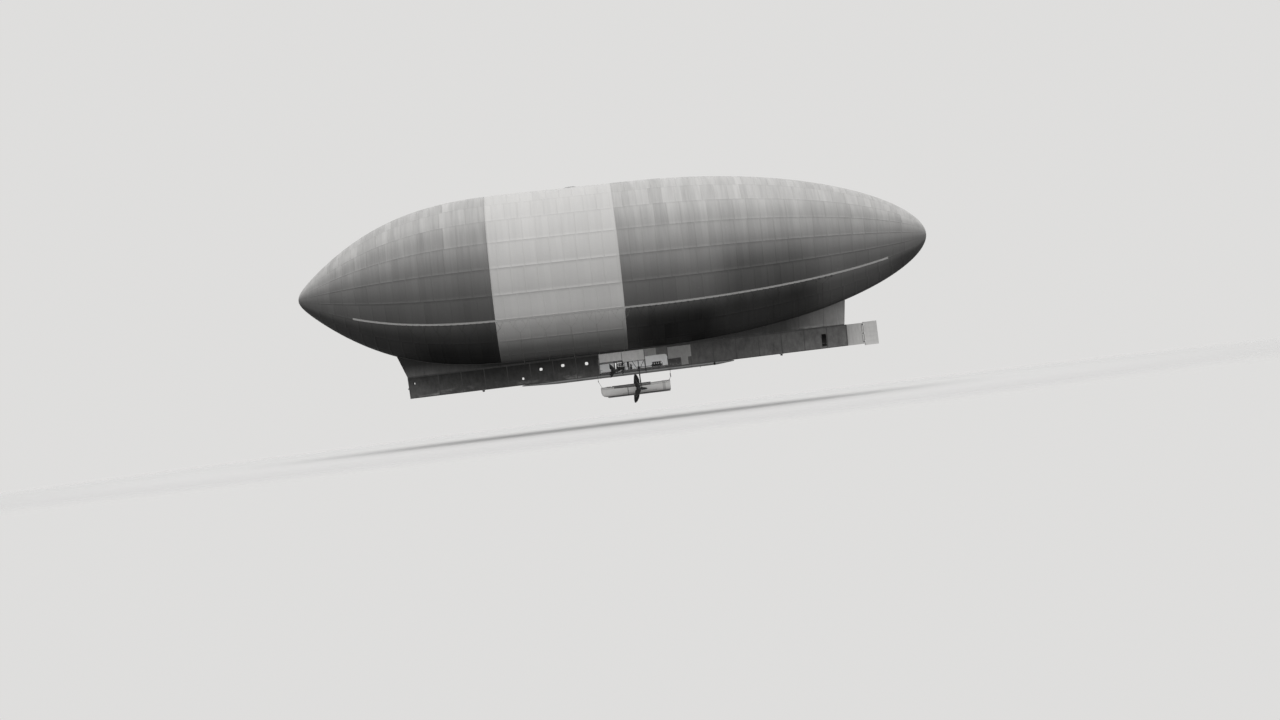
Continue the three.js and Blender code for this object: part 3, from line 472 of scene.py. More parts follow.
def envelope_cloth(name, base, levels, contrast, streak, seam_dark, zones=()):
    """Rubbered cotton: gores and panels of uneven tone, rain streaks, taped seams.
    levels: tone at angles above the horizontal, from the keel to the ridge; mostly painted light and shade, lighter
    towards the lit ridge and darker towards the shaded keel, with the cloth below the strip also darker in itself."""
    m = Mat(name, rough=0.62, spec=0.25)
    turned = m.stretch(1, 1, 1, turn=(0, TILT, 0))
    x, y, z = m.axes(turned)
    deg = m.math("MULTIPLY", m.math("ARCTAN2", z, m.math("ABSOLUTE", y)), 180 / math.pi)
    g = m.math("DIVIDE", m.math("SUBTRACT", deg, GORE_AT), GORE)
    gi = m.math("FLOOR", g)
    gf = m.math("FRACT", g)
    shift = m.math("MULTIPLY", m.math("SINE", m.math("MULTIPLY", gi, 2.4)), 0.10)
    v = m.math("DIVIDE", m.math("ADD", x, shift), PANEL)
    vi, vf = m.math("FLOOR", v), m.math("FRACT", v)
    half = m.math("FLOOR", m.math("MULTIPLY", v, 2.0))
    hf = m.math("FRACT", m.math("MULTIPLY", v, 2.0))
    side = m.math("GREATER_THAN", y, 0.0)

    def white(a, b, c):
        n = m.node("ShaderNodeTexWhiteNoise", {"Vector": m.vec(a, b, c)}, noise_dimensions="3D")
        return n.outputs[0]

    panel = white(gi, vi, side)
    strip = white(gi, half, m.math("ADD", side, 4.0))
    column = white(half, 7.0, 3.0)  # the same length of cloth all the way round
    col2 = white(vi, 11.0, 5.0)
    # streaks run round the envelope, across its length
    polar = m.vec(x, m.math("MULTIPLY", deg, 0.022), side)
    fine = m.noise(3.4, 3, 0.6, m.stretch(2.2, 0.5, 1, polar))
    wide = m.noise(1.2, 2, 0.5, m.stretch(1.1, 0.55, 1, polar))
    blotch = m.noise(0.55, 4, 0.55)
    upper = m.remap(deg, -20, 35, 0.25, 1.0)
    total = m.math("MULTIPLY", m.math("SUBTRACT", panel, 0.5), contrast)
    total = m.math("ADD", total, m.math("MULTIPLY", m.math("SUBTRACT", strip, 0.5), contrast * 0.7))
    cols = m.math("ADD", m.math("MULTIPLY", m.math("SUBTRACT", column, 0.5), streak * 0.9), m.math("MULTIPLY", m.math("SUBTRACT", col2, 0.5), streak * 0.6))
    cols = m.math("ADD", cols, m.math("MULTIPLY", m.math("SUBTRACT", fine, 0.5), streak * 2.6))
    cols = m.math("ADD", cols, m.math("MULTIPLY", m.math("SUBTRACT", wide, 0.5), streak * 1.6))
    total = m.math("ADD", total, m.math("MULTIPLY", cols, upper))
    total = m.math("ADD", total, m.math("MULTIPLY", m.math("SUBTRACT", blotch, 0.5), contrast * 2.2))
    # seams: lengthwise every gore, and round the envelope every panel and half panel
    def line(f, width):
        d = m.math("MINIMUM", f, m.math("SUBTRACT", 1.0, f))
        return m.remap(d, 0.0, width, 1.0, 0.0)

    girth = line(gf, 0.030)
    ring = line(vf, 0.055)
    ring2 = line(hf, 0.07)
    uneven = m.remap(white(gi, vi, m.math("ADD", side, 9.0)), 0, 1, 0.35, 1.0, soft=False)
    seams = m.math("MAXIMUM", m.math("MULTIPLY", girth, 0.75), m.math("MULTIPLY", ring, uneven))
    seams = m.math("MAXIMUM", seams, m.math("MULTIPLY", ring2, 0.28))
    total = m.math("SUBTRACT", total, m.math("MULTIPLY", seams, seam_dark))
    # broad lighter or darker parts: x, reach, angle, reach, change. Where they darken the belly over the car they are
    # painted shade; where they lighten the underside of the stern's tail they are painted light.
    for xc, xr, ac, ar, change in zones:
        fx = m.remap(m.math("ABSOLUTE", m.math("SUBTRACT", x, xc)), xr * 0.35, xr, 1.0, 0.0)
        fa = m.remap(m.math("ABSOLUTE", m.math("SUBTRACT", deg, ac)), ar * 0.35, ar, 1.0, 0.0)
        total = m.math("ADD", total, m.math("MULTIPLY", m.math("MULTIPLY", fx, fa), change))
    # small patches and marks
    spots = m.node("ShaderNodeTexVoronoi", {"Vector": turned, "Scale": 1.15, "Randomness": 1.0}).outputs["Distance"]
    mark = m.remap(spots, 0.045, 0.075, 1.0, 0.0)
    total = m.math("ADD", total, m.math("MULTIPLY", mark, m.math("MULTIPLY", m.math("SUBTRACT", blotch, 0.47), 0.9)))
    # painted light and shade: the tone ramp over angle makes the ridge lit and the keel shaded
    level = m.ramp(m.remap(deg, -90, 90, 0, 1, soft=False), [((a + 90) / 180, c) for a, c in levels], "EASE")
    value = m.math("MULTIPLY", m.math("MULTIPLY", level, m.math("ADD", total, 1.0)), base)
    m.colour(m.tone(m.math("MAXIMUM", value, 0.002)))
    m.rough(m.remap(blotch, 0.3, 0.7, 0.56, 0.72))
    wrinkle = m.noise(7.0, 4, 0.6, m.stretch(1.0, 0.35, 0.35, turned))
    h = m.math("ADD", m.math("MULTIPLY", wrinkle, 0.6), m.math("MULTIPLY", m.math("MAXIMUM", girth, ring), 0.5))
    m.bump(h, 0.006, 0.6)
    return m.m


def fabric(name, base, contrast=0.15, rough=0.8, scale=1.0, streak_axis=None, stain=0.0, weave=0.25, spec=0.25, low=None, shading_grades=()):
    """Proofed canvas: weave, blotches, water stains that run down.
    grades along the car or up its side are painted light and shade, darker up towards the envelope's belly and lighter
    towards the car's ends, each (axis, from, share there, to, share there)."""
    m = Mat(name, rough=rough, spec=spec)
    x, y, z = m.axes()
    blotch = m.noise(1.6 * scale, 5, 0.6)
    fine = m.noise(14 * scale, 3, 0.6)
    runs = m.noise(2.2 * scale, 3, 0.6, m.stretch(3.0, 3.0, 0.35))
    total = m.math("MULTIPLY", m.math("SUBTRACT", blotch, 0.5), contrast * 2.4)
    total = m.math("ADD", total, m.math("MULTIPLY", m.math("SUBTRACT", fine, 0.5), contrast * 0.9))
    total = m.math("ADD", total, m.math("MULTIPLY", m.math("SUBTRACT", runs, 0.5), contrast * 2.2))
    if stain:
        s = m.remap(m.noise(0.9 * scale, 4, 0.65, m.stretch(1.2, 1.2, 0.6)), 0.52, 0.68, 0.0, 1.0)
        total = m.math("SUBTRACT", total, m.math("MULTIPLY", s, stain))
    if low:
        # lighter, mottled near the foot, partly marks and partly painted light away from the shade under the envelope:
        # (height, reach, strength)
        f = m.remap(z, low[0], low[0] + low[1], 1.0, 0.0)
        s = m.remap(m.noise(2.3, 4, 0.6, m.stretch(0.55, 1, 1.6)), 0.5, 0.7, 0.0, 1.0)
        total = m.math("ADD", total, m.math("MULTIPLY", m.math("MULTIPLY", f, s), low[2]))
    value = m.math("MULTIPLY", m.math("ADD", total, 1.0), base)
    # painted light and shade: the tone is scaled along the car and up its side
    for axis, a, share_a, b, share_b in shading_grades:
        value = m.math("MULTIPLY", value, m.remap(x if axis == "x" else z, a, b, share_a, share_b, soft=False))
    m.colour(m.tone(m.math("MAXIMUM", value, 0.002)))
    m.rough(m.remap(blotch, 0.3, 0.7, rough - 0.06, min(rough + 0.08, 1)))
    wx = m.node("ShaderNodeTexWave", {"Vector": m.co, "Scale": 55.0, "Distortion": 0.4}, wave_type="BANDS", bands_direction="X").outputs[1]
    wz = m.node("ShaderNodeTexWave", {"Vector": m.co, "Scale": 55.0, "Distortion": 0.4}, wave_type="BANDS", bands_direction="Z").outputs[1]
    h = m.math("ADD", m.math("MULTIPLY", m.math("ADD", wx, wz), weave * 0.12), m.math("MULTIPLY", m.noise(4.5, 4, 0.6, m.stretch(1, 1, 0.6)), 0.8))
    m.bump(h, 0.005, 0.7)
    return m.m


def metal(name, base, rough=0.45, metallic=0.7, contrast=0.25, rust=0.0, scale=1.0, spec=0.5):
    m = Mat(name, rough=rough, metal=metallic, spec=spec)
    a = m.noise(6 * scale, 5, 0.6)
    b = m.noise(38 * scale, 3, 0.55)
    total = m.math("ADD", m.math("MULTIPLY", m.math("SUBTRACT", a, 0.5), contrast * 2), m.math("MULTIPLY", m.math("SUBTRACT", b, 0.5), contrast))
    if rust:
        r = m.remap(m.noise(3.1 * scale, 5, 0.65), 0.5, 0.72, 0, 1)
        total = m.math("SUBTRACT", total, m.math("MULTIPLY", r, rust))
    m.colour(m.tone(m.math("MAXIMUM", m.math("MULTIPLY", m.math("ADD", total, 1.0), base), 0.002), (1.0, 1.0, 0.995)))
    m.rough(m.remap(a, 0.3, 0.7, max(rough - 0.1, 0.12), min(rough + 0.15, 1)))
    m.bump(m.math("ADD", m.math("MULTIPLY", b, 0.5), a), 0.0015, 0.5)
    return m.m


def timber(name, base, axis="X", rough=0.55, contrast=0.3, scale=1.0, coat=0.0, zones=()):
    """zones: painted parts, each (x from and to or None, z from and to, share of the tone)."""
    m = Mat(name, rough=rough, spec=0.35)
    k = {"X": (0.5, 6, 6), "Y": (6, 0.5, 6), "Z": (6, 6, 0.5)}[axis]
    grain = m.noise(4 * scale, 5, 0.65, m.stretch(*k), warp=0.6)
    fine = m.noise(17 * scale, 3, 0.6, m.stretch(*k))
    blot = m.noise(1.7 * scale, 3, 0.5)
    total = m.math("MULTIPLY", m.math("SUBTRACT", grain, 0.5), contrast * 2)
    total = m.math("ADD", total, m.math("MULTIPLY", m.math("SUBTRACT", fine, 0.5), contrast * 1.2))
    total = m.math("ADD", total, m.math("MULTIPLY", m.math("SUBTRACT", blot, 0.5), contrast))
    value = m.math("MULTIPLY", m.math("ADD", total, 1.0), base)
    x, y, z = m.axes()
    for xs, zs, share in zones:
        inside = m.remap(m.math("ABSOLUTE", m.math("SUBTRACT", z, sum(zs) / 2)), (zs[1] - zs[0]) / 2 - 0.004, (zs[1] - zs[0]) / 2 + 0.004, 1.0, 0.0)
        if xs:
            along = m.remap(m.math("ABSOLUTE", m.math("SUBTRACT", x, sum(xs) / 2)), (xs[1] - xs[0]) / 2 - 0.01, (xs[1] - xs[0]) / 2 + 0.01, 1.0, 0.0)
            inside = m.math("MULTIPLY", inside, along)
        value = m.math("MULTIPLY", value, m.math("SUBTRACT", 1.0, m.math("MULTIPLY", inside, 1 - share)))
    m.colour(m.tone(m.math("MAXIMUM", value, 0.002), (1.014, 1.0, 0.980)))
    m.rough(m.remap(grain, 0.3, 0.7, rough - 0.08, min(rough + 0.12, 1)))
    if coat:
        m.b.inputs["Coat Weight"].default_value = coat
        m.b.inputs["Coat Roughness"].default_value = 0.25
    m.bump(m.math("ADD", grain, m.math("MULTIPLY", fine, 0.4)), 0.001, 0.5)
    return m.m


def cordage(name, base, pitch=90.0):
    m = Mat(name, rough=0.9, spec=0.2)
    w = m.node("ShaderNodeTexWave", {"Vector": m.co, "Scale": pitch, "Distortion": 1.5}, wave_type="BANDS", bands_direction="DIAGONAL").outputs[1]
    n = m.noise(20, 3, 0.6)
    m.colour(m.tone(m.math("MULTIPLY", m.math("ADD", m.math("MULTIPLY", w, 0.35), m.math("ADD", m.math("MULTIPLY", n, 0.5), 0.6)), base), (1.02, 1.0, 0.96)))
    m.bump(w, 0.002, 0.8)
    return m.m


def thin(mat, weight, depth):
    """Lets light through a thin cloth."""
    b = next(n for n in mat.node_tree.nodes if n.type == "BSDF_PRINCIPLED")
    b.inputs["Subsurface Weight"].default_value = weight
    b.inputs["Subsurface Radius"].default_value = (1.0, 1.0, 1.0)
    b.inputs["Subsurface Scale"].default_value = depth
    return mat


# The envelope cloths' tone ramps over angle are mostly painted light and shade (a lit ridge, a shaded keel); their
# zones low on the belly over the car are painted shade, and the lighter zone under the stern's tail is painted light.
ENV_BOW = envelope_cloth("envelope cloth, bow", 0.26, [(-90, 0.21), (-45, 0.21), (-27, 0.42), (-12, 0.43), (3, 0.54), (27, 0.88), (51, 1.27), (90, 1.46)], 0.08, 0.15, 0.12, zones=[(8.2, 3.4, -74, 34, -0.58)])
ENV_STERN = envelope_cloth("envelope cloth, stern", 0.27, [(-90, 0.24), (-42, 0.27), (-28, 0.52), (-12, 0.56), (3, 0.76), (21, 1.0), (45, 1.33), (90, 1.48)], 0.085, 0.14, 0.12, zones=[(-8.6, 3.6, -25, 42, -0.36), (-13.5, 3.2, -55, 30, 0.9), (-3.6, 3.2, -62, 36, -0.66)])
ENV_BAND = envelope_cloth("envelope cloth, band", 0.5, [(-90, 0.36), (-62, 0.48), (-40, 1.04), (-28, 1.34), (-9, 1.0), (9, 0.9), (30, 0.86), (90, 0.9)], 0.035, 0.05, 0.07)
TUNNEL = fabric("dark cloth and lacing", 0.03, 0.15)
STRIP = fabric("suspension strip", 0.50, 0.08, weave=0.6)
EARS = fabric("rope patches", 0.10, 0.1, weave=0.6)
EARS_BAND = fabric("rope patches on the band", 0.60, 0.05, weave=0.6)
# The grades of the covers and skirts below are painted light and shade: darker up towards the envelope's belly, lighter
# towards the car's ends.
COVER_BOW = fabric("car cover, bow", 0.079, 0.42, stain=0.2, low=(-5.85, 0.55, 1.5), shading_grades=[("z", -5.85, 1.25, -4.72, 0.38), ("x", 1.0, 1.08, 7.0, 0.76), ("x", 7.5, 1.0, 11.1, 2.0)])
COVER_STERN = fabric("car cover, stern", 0.098, 0.36, stain=0.1, shading_grades=[("x", -12.6, 1.7, -5.9, 1.08), ("z", -5.85, 1.2, -4.72, 0.85)])
# The bow skirt is a darker copy of the skirt cloth: painted shade under the bow of the envelope.
SKIRT_BOW = fabric("skirt, bow", 0.090, 0.3, shading_grades=[("z", -4.70, 1.4, -4.05, 0.38), ("x", 6.8, 0.28, 10.0, 1.0)])
SKIRT_STERN = fabric("skirt, stern", 0.175, 0.22, low=(-4.69, 0.22, 0.9), shading_grades=[("x", -12.7, 1.5, -9.5, 0.34)])
CANVAS = fabric("light canvas", 0.70, 0.16, stain=0.1)
# The starboard canvases, seen from inside against the daylight, are a lighter copy of the light canvas: partly painted
# light, partly light that the thin cloth really lets through.
CANVAS_FAR = thin(fabric("light canvas with daylight behind it", 0.97, 0.07, stain=0.03), 1.0, 0.08)
CANVAS_GREY = fabric("grey canvas", 0.33, 0.24)
CANVAS_DARK = fabric("dark canvas", 0.150, 0.2)
HEM = fabric("hems and tapes", 0.085, 0.15, weave=0.6)
ROPE = cordage("tarred rope", 0.12)
ROPE_LIGHT = cordage("rope", 0.3)
ROPE_DARK = cordage("tarred rope of the car", 0.045)
ROPE_BAND = cordage("pale rope of the car", 0.34)
STEEL = metal("painted steel tube", 0.07, 0.5, 0.35)
STEEL_DARK = metal("dark painted steel", 0.025, 0.6, 0.2)
STEEL_BARE = metal("bare steel", 0.25, 0.35, 0.9)
BRASS = metal("dull brass", 0.3, 0.35, 0.9)
IRON = metal("cast iron", 0.035, 0.6, 0.5)
TANK = metal("tank sheet", 0.32, 0.5, 0.45, 0.2, 0.15)
WOOD = timber("planks", 0.2, "X")
BLADE = timber("varnished blade", 0.016, "Z", 0.6, 0.3)
BOAT = timber("boat planks, pale", 0.72, "X", 0.55, 0.10, zones=[
    (None, (-7.20, -7.045), 0.16),  # dark bottom
    ((-1.76, 0.26), (-6.655, -6.50), 0.13),  # dark rail beside the cockpit
    ((-2.57, -2.41), (-7.04, -6.50), 0.72),
])
BOAT_DARK = timber("boat trim", 0.08, "X", 0.5, 0.2)
RUDDER = fabric("rudder cloth", 0.57, 0.12)
FIN = fabric("fin cloth", 0.48, 0.15)

BOAT_EDGE = timber("boat edges", 0.24, "X", 0.5, 0.2)
BLOCK = timber("blocks", 0.12, "Z", 0.5, 0.3)
FIN_TAPE = fabric("fin tapes", 0.34, 0.1, weave=0.6)
FIN_DARK = fabric("fin edge", 0.14, 0.1)
RUDDER_TAPE = fabric("rudder tapes", 0.5, 0.1, weave=0.6)

BY_SLOT = {
    "steel": STEEL, "cloth": ENV_BOW, "band": ENV_BAND, "strip": STRIP, "skirt": SKIRT_BOW, "cover": COVER_BOW,
    "canvas": CANVAS, "wood": WOOD, "tank": TANK, "engine": IRON, "blade": BLADE, "rudder": RUDDER, "boat": BOAT,
    "boat_trim": BOAT_DARK, "rope": ROPE,
}


# ---------------------------------------------------------------- envelope
def gore_angles(per=9):
    """Angles round the envelope in degrees, with how far each stands out between its seams and on a seam's tape."""
    seams = [-85 + GORE * k for k in range(10)] + [90]
    tape = 0.24  # half of a tape's width, in degrees, at full girth
    rows = [(-90.0, 0.0, 0.0)]
    for a in np.linspace(-90, -85, 4)[1:-1]:
        rows.append((a, 0.3 * (a + 85) / -5, 0.0))
    for i, s in enumerate(seams[:-1]):
        width = seams[i + 1] - s
        rows += [(s - tape - 0.05, 0, 0), (s - tape, 0, 1), (s + tape, 0, 1), (s + tape + 0.05, 0, 0)]
        n = max(3, round(per * width / GORE))
        for k in range(1, n):
            t = k / n
            rows.append((s + width * t, 4 * t * (1 - t) * width / GORE, 0))
    rows += [(90 - tape - 0.05, 0, 0), (90 - tape, 0, 1), (90.0, 0, 1)]
    return rows


def envelope_shell(name, x0, x1, mat, nodes, tip=0):
    """x0 is the end towards the bow. tip: 1 the bow tip is at x0, -1 the stern tip is at x1."""
    port = gore_angles()
    angles = [(a, b, t, 1, math.floor((a - GORE_AT) / GORE + 1e-6)) for a, b, t in port]
    angles += [(a, b, t, -1, math.floor((a - GORE_AT) / GORE + 1e-6)) for a, b, t in reversed(port[1:-1])]
    xs = []
    first = math.ceil(x1 / PANEL) - 1
    last = math.floor(x0 / PANEL) + 1
    for k in range(first, last + 1):
        c = k * PANEL
        xs += [(c - 0.017, 0, 0), (c - 0.014, 0, 1), (c + 0.014, 0, 1), (c + 0.017, 0, 0)]
        for t in (1 / 6, 2 / 6, 3 / 6, 4 / 6, 5 / 6):
            xs.append((c + PANEL * t, 4 * t * (1 - t), 0))
    xs = [r for r in xs if x1 + 0.02 < r[0] < x0 - 0.02]
    if tip == 1:
        extra = [x0 - 0.55 * (k / 16) ** 2 for k in range(17)]
        xs = [r for r in xs if r[0] < x0 - 0.58] + [(e, 0, 0) for e in extra]
    elif tip == -1:
        extra = [x1 + 0.55 * (k / 16) ** 2 for k in range(17)]
        xs = [r for r in xs if r[0] > x1 + 0.58] + [(e, 0, 0) for e in extra]
    xs += [(x0, 0, 0)] if tip != 1 else []
    xs += [(x1, 0, 0)] if tip != -1 else []
    xs.sort(key=lambda r: -r[0])
    X = np.array([r[0] for r in xs])[:, None]
    BX = np.array([r[1] for r in xs])[:, None]
    TX = np.array([r[2] for r in xs])[:, None]
    A = np.radians([a[0] for a in angles])[None, :]
    BA = np.array([a[1] for a in angles])[None, :]
    TA = np.array([a[2] for a in angles])[None, :]
    S = np.array([a[3] for a in angles])[None, :]
    G = np.array([a[4] for a in angles])[None, :]
    room = np.minimum(X - x1, x0 - X)
    window = smooth(room / 0.8)
    xx = X - 0.10 * np.sin(G * 2.4) * window
    xx = np.minimum(np.maximum(xx, x1), x0)
    grow = smooth(env_radius(X) / 2.5)
    off = (0.007 * BA + 0.003 * BX * (0.4 + 0.6 * BA) + 0.0016 * np.maximum(TA, TX)) * grow * smooth(room / 0.3 + 0.15)
    ang = A * np.ones_like(xx)
    p = env_point(xx, ang, off)
    p[..., 1] *= S
    k, n = p.shape[:2]
    s = Shape()
    inner_x = np.linspace(x0, x1, 14)[:, None]
    if tip == 1:
        inner_x = np.concatenate([x0 - 0.05 * np.array([1, 3, 8, 18, 40])[:, None], np.linspace(x0 - 3, x1, 10)[:, None]])
    elif tip == -1:
        inner_x = np.concatenate([np.linspace(x0, x1 + 3, 10)[:, None], x1 + 0.05 * np.array([40, 18, 8, 3, 1])[:, None]])
    q = env_point(inner_x + 0 * A, A + 0 * inner_x, -0.010)
    q[..., 1] *= S
    # outer skin, then back along the inner skin, as one row of rings
    if tip == 1:
        outer, inner = p, q[::-1]
        rows = np.concatenate([outer, inner])
        # the tip's first ring is a point's width: it closes on itself
        s.rings(rows)
    elif tip == -1:
        outer, inner = p[::-1], q
        rows = np.concatenate([outer, inner])
        s.rings(rows)
    else:
        rows = np.concatenate([p, q[::-1]])
        s.rings(rows, loop=True)
    return place(s, name, mat, "airship", nodes, sharp=0)


envelope_shell("envelope_bow_skin", BOW_TIP - 0.0004, BAND_FORE + 0.0002, ENV_BOW, ["envelope_bow"], tip=1)
envelope_shell("envelope_band_skin", BAND_FORE - 0.0002, BAND_AFT + 0.0002, ENV_BAND, ["envelope_band"])
envelope_shell("envelope_stern_skin", BAND_AFT - 0.0002, STERN_TIP + 0.0004, ENV_STERN, ["envelope_stern"], tip=-1)


# ---------------------------------------------------------------- suspension strip and its ropes
def tangent_angle(x, off, y=0.606, z=CAR_TOP + 0.012):
    """Angle at which a rope leaves the cloth for a point at the car's edge."""
    r = float(env_radius(x)) + off
    zc = x * SIN_T
    d = math.hypot(y, z - zc)
    if d <= r:
        return math.radians(-89)
    return math.atan2(z - zc, y) + math.acos(min(r / d, 1.0))


ROPE_X = [10.4 - 1.375 * k for k in range(17)]
for side, word in ((1, "port"), (-1, "starboard")):
    s = Shape()
    xs = np.arange(STRIP_FORE, STRIP_AFT - 0.01, -0.1073)
    xs = np.append(xs, STRIP_AFT)
    half = STRIP_WIDTH / 2
    across = np.array([-1, -0.93, -0.5, 0, 0.5, 0.93, 1])
    r = env_radius(xs)[:, None]
    pinch = 0.004 * np.sin(xs * 2 * math.pi / 0.344)[:, None]
    a = STRIP_ANGLE + (across[None, :] * (half + pinch * (across[None, :] < 0))) / r
    rise = 0.0075 + 0.0022 * (np.abs(across[None, :]) > 0.9) + 0.0012 * np.cos(xs * 2 * math.pi / 0.344)[:, None] * (1 - np.abs(across[None, :]))
    grid = env_point(xs[:, None] + 0 * a, a, rise)
    grid[..., 1] *= side
    s.sheet(grid, 0.005)
    # small eared patches on the cloth where the ropes pull
    for x0 in ROPE_X:
        for dx in (-0.516, -0.172, 0.172, 0.516):
            x = x0 + dx
            u = np.linspace(-1, 1, 5)[:, None]
            w = np.linspace(0, 1, 5)[None, :]
            rr = float(env_radius(x))
            width = 0.075 * (1 - 0.45 * w)
            ang = STRIP_ANGLE - (half - 0.01 + 0.16 * w) / rr
            g = env_point(x + u * width, ang + 0 * u, 0.0055 - 0.002 * w)
            g[..., 1] *= side
            light = 2 if BAND_AFT < x < BAND_FORE else 1
            s.sheet(g, 0.003, mat=light)
            # toggle through the strip's lower edge
            c = env_point(x, STRIP_ANGLE - (half - 0.012) / rr, 0.016) * (1, side, 1)
            s.lathe([(0.004, -0.028), (0.008, -0.02), (0.006, 0), (0.008, 0.02), (0.004, 0.028)], c, (1, 0, 0), 8, mat=light)
    # ropes: four legs join by twos, then run down to the car
    for x0 in ROPE_X:
        rope = 5 if BAND_AFT < x0 < BAND_FORE else 3
        rr = float(env_radius(x0))
        aj1 = STRIP_ANGLE - (half + 0.42) / rr
        aj2 = STRIP_ANGLE - (half + 0.86) / rr
        leave = tangent_angle(x0, 0.010)
        start = STRIP_ANGLE - (half - 0.012) / rr
        if leave > aj2 - 0.02:
            aj2 = max(leave + 0.02, STRIP_ANGLE - 0.6 * abs(leave - STRIP_ANGLE)) if leave < STRIP_ANGLE else aj2
            aj1 = (STRIP_ANGLE + aj2) / 2
        for d2 in (-0.344, 0.344):
            for d1 in (-0.172, 0.172):
                n = 5
                t = np.linspace(0, 1, n)
                pts = env_point(x0 + d2 + d1 * (1 - t), start + (aj1 - start) * t, 0.013 - 0.005 * t)
                s.tube(pts * (1, side, 1), 0.0032, 6, mat=rope)
            t = np.linspace(0, 1, 6)
            pts = env_point(x0 + d2 * (1 - t), aj1 + (aj2 - aj1) * t, 0.008 + 0.002 * t)
            s.tube(pts * (1, side, 1), 0.0042, 6, mat=rope)
            s.lathe([(0.003, -0.02), (0.009, -0.008), (0.009, 0.008), (0.003, 0.02)], pts[0] * (1, side, 1), (pts[1] - pts[0]) * (1, side, 1), 8, mat=rope)
        n = max(4, int(abs(leave - aj2) / 0.05) + 2)
        t = np.linspace(0, 1, n)
        pts = list(env_point(x0 + 0 * t, aj2 + (leave - aj2) * t, 0.010))
        foot = np.array([x0 - 0 * leave, 0.606, CAR_TOP + 0.012])
        foot[0] = pts[-1][0]
        last = pts[-1]
        pts += [last + (foot - last) * f for f in (0.35, 0.7, 1.0)]
        pts = np.array(pts)
        if (leave < aj2 + 0.001):
            s.tube(pts * (1, side, 1), 0.0055, 8, mat=rope)
        # eye and thimble where it meets the car's edge
        s.lathe([(0.004, -0.03), (0.011, -0.022), (0.009, 0), (0.0115, 0.02), (0.006, 0.03)], (pts[-1] + (0, 0.0, 0.05)) * (1, side, 1), (0, 0, 1), 8, mat=4)
    place(s, "suspension_" + word + "_rigging", [STRIP, EARS, EARS_BAND, ROPE_DARK, STEEL_BARE, ROPE_BAND], "airship", ["suspension_" + word], sharp=50)


# ---------------------------------------------------------------- skirts between the belly and the car
SKIRT_Y = 0.593
SKIRT_JOIN = -1.609
SKIRT_END = {"bow": (CAR_FORE - 0.004, 11.870), "stern": (-12.722, -12.913)}
for end, mat in (("bow", SKIRT_BOW), ("stern", SKIRT_STERN)):
    x_foot, x_head = SKIRT_END[end]
    out = 1 if end == "bow" else -1
    s = Shape()
    n = 330
    for side in (1, -1):
        t = np.linspace(0, 1, n)
        rows = 16
        w = np.linspace(0, 1, rows)[None, :]
        xf = SKIRT_JOIN + out * 0.0004 + (x_foot - SKIRT_JOIN) * t[:, None]
        xh = SKIRT_JOIN + out * 0.0004 + (x_head - SKIRT_JOIN) * t[:, None]
        xx = xf + (xh - xf) * w
        foot = CAR_TOP + 0.006
        head = belly(xh, SKIRT_Y + 0.006) - 0.012
        head = np.maximum(head, foot + 0.012)
        zz = foot + (head - foot) * w
        # the cloth hangs a little slack between the ropes
        phase = (xx - 10.4) / 0.6875
        slack = np.sin(math.pi * phase) ** 2
        tall = np.clip((head - foot) / 0.5, 0, 1)
        yy = SKIRT_Y + 0.003 - 0.020 * slack * np.sin(math.pi * w) * tall
        yy = yy + 0.003 * wave(xx, 2.1 + side, 5, 1.3) * np.sin(math.pi * w) * tall
        g = np.stack([xx, side * yy, zz], -1)
        s.sheet(g if side * out > 0 else g[:, ::-1], 0.004)
        # hem tapes along the foot and the head
        for pos, width in ((0.0, 0.035), (1.0, 0.03)):
            z0 = zz[:, 0] if pos == 0 else zz[:, -1]
            x0 = xx[:, 0] if pos == 0 else xx[:, -1]
            hh = np.minimum(width, (zz[:, -1] - zz[:, 0]) * 0.4)
            zz2 = np.stack([z0, z0 + (hh if pos == 0 else -hh)], -1)
            g2 = np.stack([np.stack([x0, x0], -1), np.full_like(zz2, 0) + side * (SKIRT_Y + 0.0065), zz2], -1)
            g2 = g2 if (side > 0) == (pos == 0) else g2[:, ::-1]
            s.sheet(g2[:: 2], 0.003, mat=1)
    # the end panel
    m_, k_ = 25, 14
    y = np.linspace(-SKIRT_Y - 0.003, SKIRT_Y + 0.003, m_)[:, None]
    foot = CAR_TOP + 0.006
    head_z = float(belly(x_head - out * 0.012, 0.598)) - 0.014
    top = np.minimum(head_z, belly(x_head, y) - 0.014)
    w = np.linspace(0, 1, k_)[None, :]
    zz = foot + (top - foot) * w
    share = (zz - foot) / (head_z - foot)
    bulge = -out * 0.02 * np.sin(math.pi * w) * np.cos(math.pi * y / (2 * 0.6))
    xx = x_foot + (x_head - x_foot) * share + bulge - out * 0.005
    g = np.stack([xx, y + 0 * w, zz], -1)
    s.sheet(g if out > 0 else g[::-1], 0.005)
    s.tube([(x_foot - out * 0.006, SKIRT_Y * k, foot + 0.006) for k in np.linspace(-1, 1, 9)], 0.007, 8, mat=1)
    place(s, "skirt_" + end + "_cloth", [mat, HEM], "airship", ["skirt_" + end], sharp=50)


# ---------------------------------------------------------------- the car's covers
def sag(x, z, depth=0.011, fore=None, aft=None):
    """How far the car's cloth is drawn in between its frames."""
    phase = (np.asarray(x, float) - BAY_0) / BAY
    f = np.sin(math.pi * phase) ** 2
    h = np.clip((np.asarray(z, float) - CAR_BOTTOM) / (CAR_TOP - CAR_BOTTOM), 0, 1)
    v = np.sin(math.pi * h) ** 0.8
    pucker = 0.0025 * wave(x, 1.3, 5, 0.9) * v + 0.0016 * wave(np.asarray(x) * 1.7 + np.asarray(z) * 2.3, 4.1, 4, 1.6) * v
    return depth * f * v + pucker + 0.001


